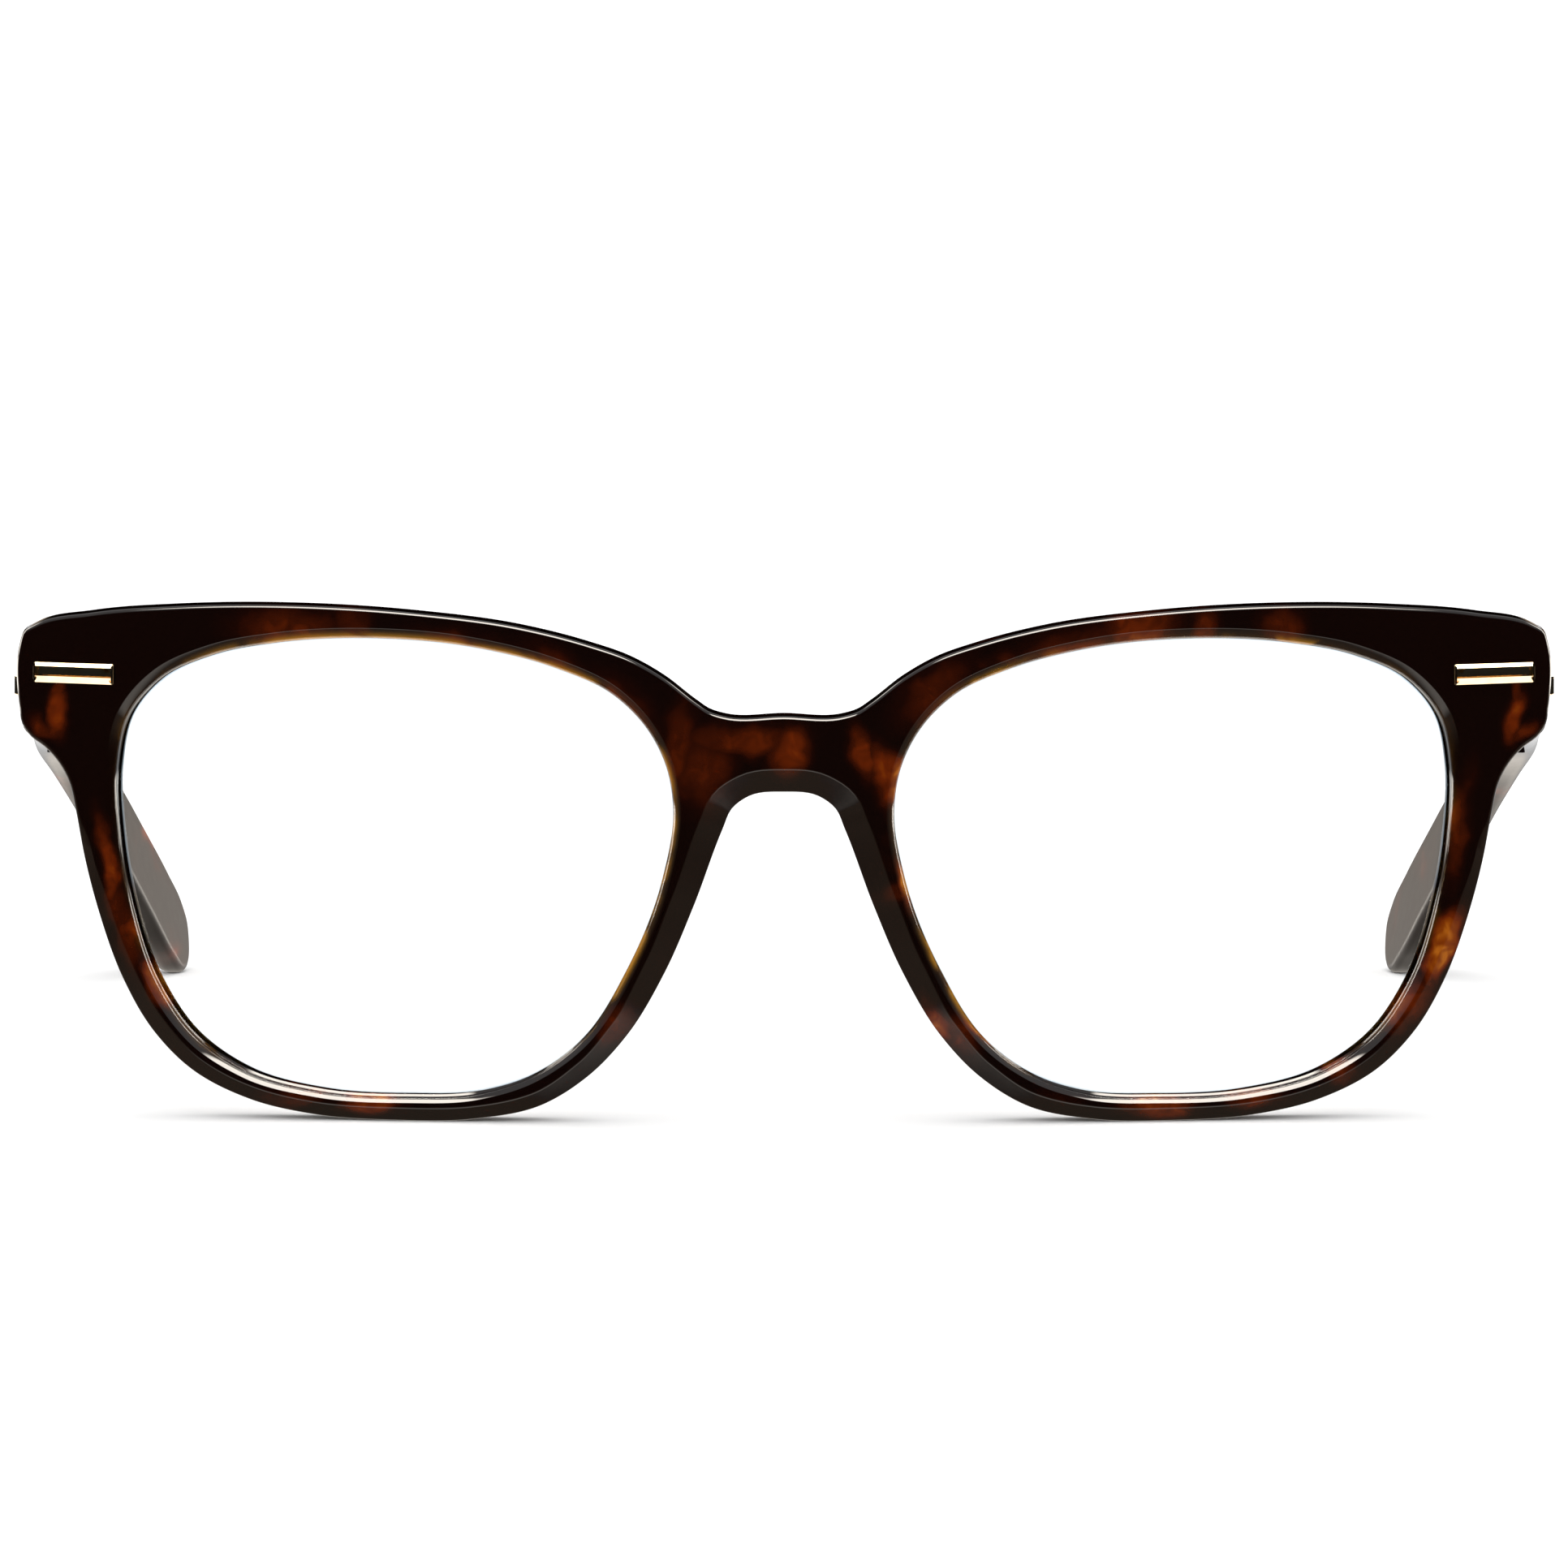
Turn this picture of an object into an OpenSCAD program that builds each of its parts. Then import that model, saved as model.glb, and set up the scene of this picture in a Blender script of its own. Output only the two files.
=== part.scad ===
// Audio smart glasses: a wrapped acetate front with two lenses, five-knuckle hinges and two
// hollow temples, each holding its own battery, circuit board, speaker and microphone.
// +Z up, the front faces -Y, Z = 0 is the surface that the rims and the temple tips stand on.

/* [Front] */
// Width of the front across the endpieces
front_w = 141.6; // [138:0.2:146]
// Thickness of the acetate front
front_t = 5; // [4.8:0.1:5.6]
// Radius that the front is wrapped to, seen from above
wrap_r = 350; // [320:10:420]
// Thickness of each lens
lens_t = 2; // [1.6:0.1:2.2]
// Radius of each lens's front surface
lens_r = 180; // [160:5:220]
// Depth of the lens groove in the rim
groove = 0.6; // [0.4:0.1:0.8]

/* [Temples] */
// Height of the hinge centre above the table
hinge_z = 40; // [39.6:0.1:40.4]
// Downward slope of the temples, degrees
drop_deg = 5; // [4:0.5:6]
// Outward splay of the temples, degrees
splay_deg = 4.4; // [3:0.2:5]
// Angle that the ear hook's inward curve is turned to, below the temple's length, degrees
hook_deg = 40; // [30:5:45]
// Outer face's distance from the hinge axis at the front end
temple_out = 7; // [6.9:0.1:7.1]
// Inner face's distance from the hinge axis
temple_in = 1; // [1:0.1:1.2]

/* [Hinges] */
// Radius of the hinge barrel
barrel_r = 1.5; // [1.4:0.05:1.6]
// Radius of the barrel's bore
bore_r = 0.72; // [0.7:0.01:0.75]
// Radial clearance of the screw in the bore
screw_gap = 0.05; // [0.03:0.01:0.08]
// Height of one of the five knuckles
knuckle_h = 1.5; // [1.4:0.05:1.6]

/* [Temple electronics] */
// Start of the electronics bay behind the hinge axis
bay_start = 19; // [18:0.5:20]
// End of the electronics bay
bay_end = 81.5; // [80:0.5:82]
// Thickness of the inner cover
cover_t = 0.9; // [0.8:0.1:1]
// Travel of the button
travel = 0.3; // [0.2:0.05:0.3]
// Gap between the button and its hole
button_gap = 0.1; // [0.08:0.01:0.15]

/* [Gold bars] */
// Length of a gold bar
bar_len = 7.6; // [7:0.1:8]
// Height of a gold bar
bar_h = 1.9; // [1.7:0.1:2.1]
// How far a gold bar stands out of the acetate
bar_proud = 0.45; // [0.3:0.05:0.6]
// How far the bars on the temples' sides stand out
side_bar_proud = 0.7; // [0.5:0.05:0.8]

/* [Hidden] */
$fn = 48;

// Colours
acetate = [0.10, 0.045, 0.03];
amber = [0.55, 0.28, 0.10];
gold = [0.83, 0.66, 0.33];
steel = [0.72, 0.73, 0.75];
clear = [0.80, 0.88, 0.90, 0.4];
dark = [0.12, 0.12, 0.13];
board_green = [0.06, 0.30, 0.18];

// Overall depth, halved, puts the origin in the middle of the object
mid_y = 70.9;
wide = front_w / 141.6;
hinge_x = 63.9 * wide;
lens_x = 36 * wide;
lens_z = 23.4;
plaque_x = 65.6 * wide;
plaque_z = 41.2;
// Half length that the temples' plan is extruded to
reach = 75;
// Hinge axis behind the front's back face, and the gap in front of a temple's end
hinge_back = 2.37;
end_gap = 0.3;
leaf_t = 1;
board_x = 3.3;
board_t = 0.8;
contact_s = [33, 36];

// ---- Curves ----

// Depth of the wrapped front's outer face at a distance from the middle
function sag(x, r = wrap_r) = r - sqrt(r * r - x * x);
// Slope of the wrapped front at a distance from the middle, degrees
function wrap_deg(x) = asin(x / wrap_r);
function chord(p, i) = norm(p[i + 1] - p[i]);
// Direction of a curve at point i, from the chords on both sides of it
function slope(p, i) =
    i == 0 ? (p[1] - p[0]) / chord(p, 0) :
    i == len(p) - 1 ? (p[i] - p[i - 1]) / chord(p, i - 1) :
    let (a = chord(p, i - 1), b = chord(p, i))
    ((p[i] - p[i - 1]) * b / a + (p[i + 1] - p[i]) * a / b) / (a + b);
// Point at the fraction t of the span after point i
function on_span(p, i, t) =
    let (h = chord(p, i), a = slope(p, i) * h, b = slope(p, i + 1) * h)
    p[i] * (2 * t ^ 3 - 3 * t ^ 2 + 1) + a * (t ^ 3 - 2 * t ^ 2 + t)
    + p[i + 1] * (3 * t ^ 2 - 2 * t ^ 3) + b * (t ^ 3 - t ^ 2);
// Smooth curve through points, without its last point
function curve(p, steps = 4) =
    [for (i = [0:len(p) - 2]) for (k = [0:steps - 1]) on_span(p, i, k / steps)];
// Smooth closed curve through points
function loop(p, steps = 4) =
    let (n = len(p), q = [for (i = [-2:n + 2]) p[(i + n) % n]])
    [for (i = [2:n + 1]) for (k = [0:steps - 1]) on_span(q, i, k / steps)];
// Closed outline moved outward by d; the outline runs clockwise
function grow(p, d) =
    let (n = len(p))
    [for (i = [0:n - 1])
        let (t = p[(i + 1) % n] - p[(i + n - 1) % n])
        p[i] + [-t[1], t[0]] * d / norm(t)];
// Open curve moved sideways by d
function beside(p, d) =
    [for (i = [0:len(p) - 1]) let (t = slope(p, i)) p[i] + [-t[1], t[0]] * d / norm(t)];
function back(p) = [for (i = [len(p) - 1:-1:0]) p[i]];
function last(p) = p[len(p) - 1];
// Outline of a band of half width w round an open curve
function band(p, w) = concat(beside(p, w), back(beside(p, -w)));
function flip(p) = [for (q = back(p)) [-q[0], q[1]]];
// Four-sided outline from s0 to s1 with half heights h0 and h1 and corners rounded by r
function slot_outline(s0, s1, h0, h1, r) =
    let (c = [[s1 - r, h1 - r, 0], [s0 + r, h0 - r, 90], [s0 + r, r - h0, 180], [s1 - r, r - h1, 270]])
    [for (q = c) for (a = [0:18:90]) [q[0] + r * cos(q[2] + a), q[1] + r * sin(q[2] + a)]];

// ---- Outlines of the front, seen from the front, right half ----

brow = [[0, 37.7], [5.5, 37.7], [6.8, 38.1], [8, 38.9], [11, 41.2], [14, 42.9], [18, 44.3],
        [24, 45.8], [34, 47.1], [45, 47.7], [56, 47.5], [64, 46.8], [69.4, 45.7]];
endpiece = [[69.4, 45.7], [70.4, 45.1], [70.7, 43.8], [70.8, 38], [70.6, 36.4], [69.7, 35.2]];
cheek = [[69.7, 35.2], [68.4, 34.3], [67.2, 33], [66.1, 31], [65.5, 28.4], [64.8, 24.4],
         [63.3, 18.5], [61.3, 13], [58.4, 8], [55, 4.6], [49.4, 1.8], [43.5, 0.5], [36, 0.03],
         [28.5, 0.25], [22.5, 1.5], [18, 4.3], [14.5, 8], [11, 13.8], [8.3, 20], [5.6, 27.2],
         [4.8, 29], [3.2, 30.2], [0, 30.6]];
front_half = concat(curve(brow), curve(endpiece), curve(cheek), [last(cheek)]);
front_outline = [for (p = concat(front_half, [for (q = flip(front_half)) q])) [p[0] * wide, p[1]]];

// Lens opening about the lens centre, clockwise from the nose side
eye = [[-25.8, 6], [-25.3, 9.1], [-23.4, 13], [-20.2, 16.2], [-15, 18.6], [-8, 20.4], [2, 21.3],
       [11, 20.8], [17, 19.6], [21.8, 17.4], [24.9, 13.9], [26, 9], [25.8, 3], [24.6, -4],
       [22.3, -10.8], [19, -15.6], [14, -19], [7, -20.8], [-1, -21.2], [-8, -20.8],
       [-13, -19.1], [-17.5, -15.7], [-21.5, -9.4], [-24.8, -1], [-25.8, 3]];
eye_outline = [for (p = loop(eye)) [p[0] * wide, p[1]]];

// ---- Outlines of a temple, in its own frame: s runs back from the hinge, z up ----

temple_line = [[-8, 5.3], [0, 5.3], [40, 4.9], [77, 4.4], [88, 3.6], [97, 1.3], [105, -2.8], [113, -8],
               [121, -14], [126.6, -18.5], [129.9, -21.6], [130.7, -23.8], [129.6, -26.3],
               [127.2, -28.5], [124.4, -29.17], [121.6, -27.7], [116, -23.1], [109.5, -17.7],
               [102.5, -12.8], [95.5, -9.6], [88, -7.7], [80, -6.5], [71, -5.8], [60, -5.4],
               [40, -5.2], [0, -5.3], [-8, -5.3]];
temple_side = concat(curve(temple_line), [[-8, -5.3]]);
// Seen across the hook: u runs along the hook, the second value is the distance from the axis
outer_edge = [[-12, temple_out + 0.2], [0, temple_out], [30, temple_out - 0.7], [60, temple_out - 1.4],
              [70, 5], [79, 3.3], [88, 0.8], [98, -2.5], [108, -5.7], [121, -9.6]];
inner_edge = [[-12, temple_in], [0, temple_in], [40, temple_in], [66, temple_in], [75, 0.85], [83, -0.5],
              [91, -2.8], [99, -5.5], [108, -8.6], [121, -12.9]];
temple_plan = concat(curve(outer_edge), [last(outer_edge), last(inner_edge)], back(curve(inner_edge)));
// The core wire runs down the middle of the hook
wire_w = 0.7;
wire_side = curve([[88, -2], [94, -3.6], [101, -7], [108, -11.8], [116, -18], [123.5, -24]]);
wire_plan = curve([[62, 3.4], [70, 3], [79, 1.8], [88, -0.5], [98, -3.9], [108, -7.1], [118, -10.4]]);

// Inner parts of a temple, in its own frame
cover_in = temple_in + cover_t;
bay_out = 5;
bay_mid = 66.5;
bay_out_rear = 4.5;
cover_start = 13.5;
cover_end = 86;
function cover_half(s) = 4.3 - (s - cover_start) * 0.01;
function bay_half(s) = cover_half(s) - 0.95;
button_s = 34;
button_x = (cover_in + bay_out) / 2;
button_len = 8;
button_w = 2.2;
low_wall = -5.25;
switch_face = -2.3;
port_s = 75;

// ---- Frames and small shapes ----

module left() translate([0, -mid_y, 0]) children();
module right() translate([0, -mid_y, 0]) mirror([1, 0, 0]) children();
// A temple's frame: X outboard of the hinge axis, Y back along the temple, Z along the axis
module hinge_frame()
    translate([hinge_x, sag(hinge_x) + front_t + hinge_back, hinge_z])
        rotate([-drop_deg, 0, 0]) rotate([0, 0, -splay_deg]) children();
// A frame on the wrapped front face at a distance x from the middle, Y into the acetate
module on_front(x) translate([x, sag(x), 0]) rotate([0, 0, wrap_deg(x)]) children();
// Extrudes an outline that is drawn in X and Z from y0 to y1
module along_y(p, y0, y1)
    translate([0, y1, 0]) rotate([90, 0, 0]) linear_extrude(y1 - y0) polygon(p);
// Extrudes an outline that is drawn in s and z from x0 to x1 in a temple's frame
module along_x(p, x0, x1)
    translate([x0, 0, 0]) rotate([90, 0, 90]) linear_extrude(x1 - x0) polygon(p);
module rod_x(x0, x1, s, z, r) translate([x0, s, z]) rotate([0, 90, 0]) cylinder(r = r, h = x1 - x0);
module block(x0, x1, s0, s1, z0, z1) translate([x0, s0, z0]) cube([x1 - x0, s1 - s0, z1 - z0]);

// A bar with chamfered edges, centred, its back face on Y = 0 and its front towards -Y
module bar(len, high, thick) {
    c = 0.35;
    along_y([[-len / 2, -high / 2], [-len / 2, high / 2], [len / 2, high / 2], [len / 2, -high / 2]],
            c - thick, 0);
    rotate([90, 0, 90]) translate([0, 0, c - len / 2]) linear_extrude(len - 2 * c)
        polygon([[c - thick, -high / 2], [-thick, c - high / 2], [-thick, high / 2 - c],
                 [c - thick, high / 2]]);
}

// ---- Front ----

module front_shell() intersection() {
    along_y(front_outline, -5, 40);
    difference() {
        translate([0, wrap_r, -5]) cylinder(r = wrap_r, h = 60, $fn = 360);
        translate([0, wrap_r, -6]) cylinder(r = wrap_r - front_t, h = 62, $fn = 360);
    }
}

module lens() color(clear) on_front(lens_x) intersection() {
    translate([0, 0, lens_z]) along_y(grow(eye_outline, groove), -5, 20);
    translate([0, 0.5 + lens_r, lens_z]) difference() {
        sphere(r = lens_r, $fn = 200);
        sphere(r = lens_r - lens_t, $fn = 200);
    }
}

module plaque_pins(y1) for (dx = [-2.4, 2.4])
    translate([dx, y1, 0]) rotate([90, 0, 0]) cylinder(r = 0.6, h = y1 - 0.3);

module front_plaque() color(gold) on_front(plaque_x) translate([0, 0, plaque_z]) rotate([0, -1.2, 0]) {
    translate([0, 0.4, 0]) bar(bar_len, bar_h, bar_proud + 0.4);
    plaque_pins(front_t - leaf_t - 0.1);
}

// Front hinge: a plate let into the back of the endpiece, and knuckles 1, 3 and 5
module knuckle(i) translate([0, 0, (i - 2.5) * knuckle_h + 0.03])
    cylinder(r = barrel_r, h = knuckle_h - 0.06);
module knuckle_web(i, y0, y1, x0, x1)
    translate([x0, y0, (i - 2.5) * knuckle_h + 0.03]) cube([x1 - x0, y1 - y0, knuckle_h - 0.06]);
module barrel_bore() translate([0, 0, -6]) cylinder(r = bore_r, h = 12);
module front_leaf() on_front(plaque_x)
    translate([0.7, front_t - 0.1 - leaf_t / 2, hinge_z]) cube([6.4, leaf_t, 7.4], center = true);
module front_hinge() color(gold) difference() {
    union() {
        front_leaf();
        hinge_frame() for (i = [0, 2, 4]) {
            knuckle(i);
            knuckle_web(i, -3.1, 0, -barrel_r, barrel_r - 0.5);
        }
    }
    hinge_frame() barrel_bore();
}
module front_hinge_pocket() {
    front_leaf();
    hinge_frame() translate([-barrel_r, -3.1, -2.5 * knuckle_h])
        cube([2 * barrel_r - 0.5, 3.1, 5 * knuckle_h]);
}

// Outline of a nose pad behind the nose side of a rim
pad = [[8.1, 26], [8.9, 25], [9.8, 22], [11.2, 18.6], [12.7, 15.2], [12.9, 13.6], [12, 13], [10.9, 14.6],
       [9.1, 18.8], [7.7, 22.8], [7.4, 25]];
module nose_pad() color(acetate) intersection() {
    along_y(loop(pad), 2, 20);
    translate([0, wrap_r, 0]) cylinder(r = wrap_r - front_t, h = 60, $fn = 360);
    translate([10.4, 3.6, 19.4]) rotate([0, -22, 0]) cylinder(r = 5.6, h = 30, center = true);
}

module front_frame() color(acetate) difference() {
    front_shell();
    for (side = [0, 1]) mirror([side, 0, 0]) {
        on_front(lens_x) translate([0, 0, lens_z]) along_y(eye_outline, -5, 20);
        lens();
        front_plaque();
        front_hinge_pocket();
    }
}

module hinge_screw() color(steel) hinge_frame() {
    cylinder(r = bore_r - screw_gap, h = 5 * knuckle_h + 0.1, center = true);
    difference() {
        translate([0, 0, 2.5 * knuckle_h + 0.03]) cylinder(r = 1.15, h = 0.6);
        translate([-2, -0.15, 2.5 * knuckle_h + 0.35]) cube([4, 0.3, 1]);
    }
}

// ---- Temple ----

module across_hook(p) rotate([-hook_deg, 0, 0]) translate([0, 0, -reach])
    linear_extrude(2 * reach) polygon([for (q = p) [q[1], q[0]]]);
module temple_blank() intersection() {
    along_x(temple_side, -20, 20);
    across_hook(temple_plan);
}
// Everything in front of the plane that the temple's end butts against
module front_space() on_front(67 * wide) translate([-40, -40, 0]) cube([80, 40 + front_t + end_gap, 80]);
module bay_outline(gap, x0, x1, s0, s1)
    along_x(slot_outline(s0 - gap, s1 + gap, bay_half(s0) + gap, bay_half(s1) + gap, 1.2), x0, x1);
module gasket_ring(x0, x1) difference() {
    bay_outline(0.7, x0, x1, bay_start, bay_end);
    bay_outline(0.25, x0 - 1, x1 + 1, bay_start, bay_end);
}
module button_outline(grow_by, z0, z1) {
    straight = (button_len - button_w) / 2;
    for (ds = [-straight, straight])
        translate([button_x, button_s + ds, z0]) cylinder(r = button_w / 2 + grow_by, h = z1 - z0);
    block(button_x - button_w / 2 - grow_by, button_x + button_w / 2 + grow_by,
          button_s - straight, button_s + straight, z0, z1);
}
module cover_blank(x0, x1)
    along_x(slot_outline(cover_start, cover_end, cover_half(cover_start), cover_half(cover_end), 2),
            x0, x1);
module core_wire_shape() intersection() {
    along_x(band(wire_side, wire_w), -20, 20);
    across_hook(band(wire_plan, wire_w));
}

module temple_shell() color(acetate) difference() {
    hinge_frame() difference() {
        temple_blank();
        translate([0, 0, -10]) cylinder(r = barrel_r + 0.3, h = 20);
        cover_blank(temple_in - 1, cover_in);
        bay_outline(0, cover_in - 0.1, bay_out, bay_start, bay_mid);
        bay_outline(0, cover_in - 0.1, bay_out_rear, bay_start, bay_end);
        gasket_ring(cover_in - 0.1, cover_in + 0.4);
        for (s = [16, 83.8]) rod_x(cover_in - 0.1, 4.4, s, 0, 0.5);
        button_outline(button_gap, -8, -2);
        translate([3.5, 23, -8]) cylinder(r = 0.4, h = 6);
        block(2.3, 4.1, port_s - 4, port_s + 4, -8, -2);
        temple_leaf();
        temple_plaque_shape();
        core_wire_shape();
    }
    front_space();
}

module temple_leaf() {
    block(temple_in - 0.7, temple_in + 0.3, 1.9, 12, -3.4, 3.4);
    for (i = [1, 3]) knuckle_web(i, 0, 3, 0, temple_in + 0.3);
}
module temple_hinge() color(gold) hinge_frame() difference() {
    union() {
        temple_leaf();
        for (i = [1, 3]) knuckle(i);
    }
    barrel_bore();
}

module temple_plaque_shape() {
    translate([temple_out - 0.6, 5.6, -0.4]) rotate([0, 0, 91.3])
        bar(bar_len, bar_h, side_bar_proud + 0.5);
    for (s = [3.6, 8]) rod_x(temple_in + 0.3, temple_out - 0.3, s, -0.4, 0.6);
}
module temple_plaque() color(gold) hinge_frame() temple_plaque_shape();

module temple_cover() color(dark) hinge_frame() difference() {
    cover_blank(temple_in, cover_in);
    for (s = [16, 83.8]) {
        rod_x(temple_in - 1, cover_in + 1, s, 0, 0.65);
        rod_x(temple_in - 1, temple_in + 0.45, s, 0, 1.15);
    }
    for (s = contact_s) rod_x(temple_in - 1, cover_in + 1, s, 0, 0.8);
    rod_x(temple_in - 1, cover_in + 1, 22, 2, 0.5);
}
module cover_gasket() color(dark) hinge_frame() gasket_ring(cover_in, cover_in + 0.4);
module cover_screws() color(steel) hinge_frame() for (s = [16, 83.8]) difference() {
    union() {
        rod_x(temple_in + 0.05, temple_in + 0.45, s, 0, 1.1);
        rod_x(temple_in + 0.4, 4.2, s, 0, 0.5);
    }
    block(temple_in - 1, temple_in + 0.25, s - 0.13, s + 0.13, -2, 2);
}
module core_wire() color(steel) hinge_frame() core_wire_shape();

module circuit_board() color(board_green) hinge_frame() difference() {
    block(board_x, board_x + board_t, 19.6, 43.4, -1.7, 3);
    for (s = [20.8, 42.2]) rod_x(board_x - 1, board_x + 2, s, 2, 0.4);
}
module board_components() color(dark) hinge_frame() {
    block(board_x + board_t, board_x + board_t + 0.75, 30.5, 35.5, -1.3, 2.6);
    block(board_x + board_t, board_x + board_t + 0.6, 37, 40.5, -1, 1.8);
    block(board_x - 1.1, board_x, 24, 28, -1.3, 2.4);
    block(board_x - 0.6, board_x, 29, 30.6, -1.2, 0.2);
    block(board_x - 0.6, board_x, 29, 30.6, 1, 2.4);
    for (s = [37.8:0.9:41.4]) block(board_x - 0.4, board_x, s - 0.25, s + 0.25, 2, 2.6);
}
module battery() color([0.75, 0.76, 0.78]) hinge_frame()
    along_x(slot_outline(44.6, 66, 2.6, 2.6, 0.8), 2.3, 4.6);
module touch_pad() color(amber) hinge_frame() block(4.7, 4.95, 46, 64, -2.4, 2.4);
module antenna() color(gold) hinge_frame() difference() {
    block(4.7, 4.9, 20.5, 29, -1, 2.8);
    block(4, 5.5, 22, 30, 1.4, 2.1);
    block(4, 5.5, 22, 30, -0.2, 0.5);
}
module flex_cable() color(amber) hinge_frame()
    translate([0, 0, -1]) linear_extrude(2)
        polygon([[3.28, 41], [3.28, 43.6], [2.15, 44.4], [2.15, 68.5], [2, 68.5], [2, 44.2],
                 [3.1, 43.4], [3.1, 41]]);
module speaker() color(dark) hinge_frame() {
    difference() {
        along_x(slot_outline(68.6, 81.2, 2.45, 2.45, 0.7), 2.2, 4.4);
        rod_x(2, 2.5, 75, 0, 1.8);
    }
    rod_x(2.2, 2.4, 75, 0, 1.5);
    block(2.4, 4, port_s - 3.2, port_s + 3.2, -3.2, -2.3);
}
module speaker_mesh() color(gold) hinge_frame() difference() {
    block(2.3, 4.1, port_s - 4, port_s + 4, -4.7, -4.4);
    for (s = [-3.3:0.66:3.3]) for (x = [2.75, 3.2, 3.65])
        translate([x, port_s + s, -6]) cylinder(r = 0.15, h = 3, $fn = 16);
}
module microphone() color(steel) hinge_frame() difference() {
    block(2.2, 4.8, 21.2, 24.8, -3.1, -1.9);
    translate([3.5, 23, -4]) cylinder(r = 0.3, h = 1.6);
}
module charging_contacts() color(gold) hinge_frame() for (s = contact_s) {
    rod_x(temple_in - 0.05, cover_in + 0.3, s, 0, 0.8);
    rod_x(cover_in, board_x, s, 0, 0.4);
}
module dock_magnets() color(steel) hinge_frame() for (s = [31, 38.4])
    rod_x(cover_in + 0.02, board_x - 0.65, s, 0.6, 0.95);
module light_pipe() color(clear) hinge_frame() {
    rod_x(temple_in, cover_in, 22, 2, 0.5);
    rod_x(cover_in, board_x, 22, 2, 0.7);
}
module button_switch() color(steel) hinge_frame() {
    block(board_x - 1.2, board_x + 1.4, button_s - 2, button_s + 2, -2.1, -1.72);
    translate([button_x, button_s, switch_face]) cylinder(r = 0.8, h = 0.3);
}
module button() color(acetate) hinge_frame() {
    button_outline(0, low_wall - 0.4, -3);
    block(button_x - 1.4, button_x + 1.4, button_s - 4.6, button_s + 4.6, -3.05,
          switch_face - travel - 0.05);
}

left() front_frame();
left() lens();  // lens_left
right() lens();  // lens_right
left() front_plaque();  // front_plaque_left
right() front_plaque();  // front_plaque_right
left() nose_pad();  // nose_pad_left
right() nose_pad();  // nose_pad_right
left() front_hinge();  // front_hinge_left
right() front_hinge();  // front_hinge_right
left() hinge_screw();  // hinge_screw_left
right() hinge_screw();  // hinge_screw_right
left() temple_shell();  // temple_shell_left
left() temple_cover();  // temple_cover_left
left() cover_gasket();  // cover_gasket_left
left() cover_screws();  // cover_screws_left
left() core_wire();  // core_wire_left
left() temple_hinge();  // temple_hinge_left
left() temple_plaque();  // temple_plaque_left
left() battery();  // battery_left
left() circuit_board();  // circuit_board_left
left() board_components();  // board_components_left
left() speaker();  // speaker_left
left() speaker_mesh();  // speaker_mesh_left
left() microphone();  // microphone_left
left() charging_contacts();  // charging_contacts_left
left() dock_magnets();  // dock_magnets_left
left() antenna();  // antenna_left
left() touch_pad();  // touch_pad_left
left() flex_cable();  // flex_cable_left
left() light_pipe();  // light_pipe_left
left() button_switch();  // button_switch_left
left() button();  // button_left
right() temple_shell();  // temple_shell_right
right() temple_cover();  // temple_cover_right
right() cover_gasket();  // cover_gasket_right
right() cover_screws();  // cover_screws_right
right() core_wire();  // core_wire_right
right() temple_hinge();  // temple_hinge_right
right() temple_plaque();  // temple_plaque_right
right() battery();  // battery_right
right() circuit_board();  // circuit_board_right
right() board_components();  // board_components_right
right() speaker();  // speaker_right
right() speaker_mesh();  // speaker_mesh_right
right() microphone();  // microphone_right
right() charging_contacts();  // charging_contacts_right
right() dock_magnets();  // dock_magnets_right
right() antenna();  // antenna_right
right() touch_pad();  // touch_pad_right
right() flex_cable();  // flex_cable_right
right() light_pipe();  // light_pipe_right
right() button_switch();  // button_switch_right
right() button();  // button_right
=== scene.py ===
import math

import bmesh
import bpy
import numpy as np
from mathutils import Matrix, Vector
from mathutils.geometry import delaunay_2d_cdt
from mathutils.kdtree import KDTree


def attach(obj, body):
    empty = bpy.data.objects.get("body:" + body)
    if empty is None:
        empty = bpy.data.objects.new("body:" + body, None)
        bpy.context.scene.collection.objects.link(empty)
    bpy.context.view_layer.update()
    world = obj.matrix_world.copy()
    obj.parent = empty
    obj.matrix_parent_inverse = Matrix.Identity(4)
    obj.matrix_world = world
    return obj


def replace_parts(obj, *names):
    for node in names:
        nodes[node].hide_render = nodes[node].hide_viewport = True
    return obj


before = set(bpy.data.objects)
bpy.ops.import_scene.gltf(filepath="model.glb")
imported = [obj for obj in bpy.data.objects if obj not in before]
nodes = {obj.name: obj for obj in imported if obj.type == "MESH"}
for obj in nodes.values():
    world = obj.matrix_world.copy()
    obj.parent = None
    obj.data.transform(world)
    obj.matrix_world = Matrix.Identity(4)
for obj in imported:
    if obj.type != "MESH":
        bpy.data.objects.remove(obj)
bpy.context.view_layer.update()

# The wearer's left is +X
NAMES = {1: "left", -1: "right"}

# ---- Sizes repeated from the CAD source, in millimetres ----
MM = 0.001
MID_Y = 70.9
WRAP_R, FRONT_T = 350.0, 5.0
LENS_X, LENS_Z, LENS_R, LENS_T, LENS_APEX = 36.0, 23.4, 180.0, 2.0, 0.5
HINGE_X, HINGE_Z, HINGE_BACK = 63.9, 40.0, 2.37
DROP, SPLAY, HOOK = math.radians(5), math.radians(4.4), math.radians(40)
TEMPLE_OUT, TEMPLE_IN, COVER_IN = 7.0, 1.0, 1.9
PLAQUE_X, PLAQUE_Z = 65.6, 41.2
BAR_LEN, BAR_H, BAR_TILT = 7.6, 1.9, math.radians(1.2)
COVER_START, COVER_END = 13.5, 86.0
COVER_SCREWS = (16, 83.8)
BUTTON_X, BUTTON_S, PORT_S = 3.45, 34.0, 75.0


def sag(x, r=WRAP_R):
    return WRAP_R - np.sqrt(r * r - np.asarray(x, float) ** 2)


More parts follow.
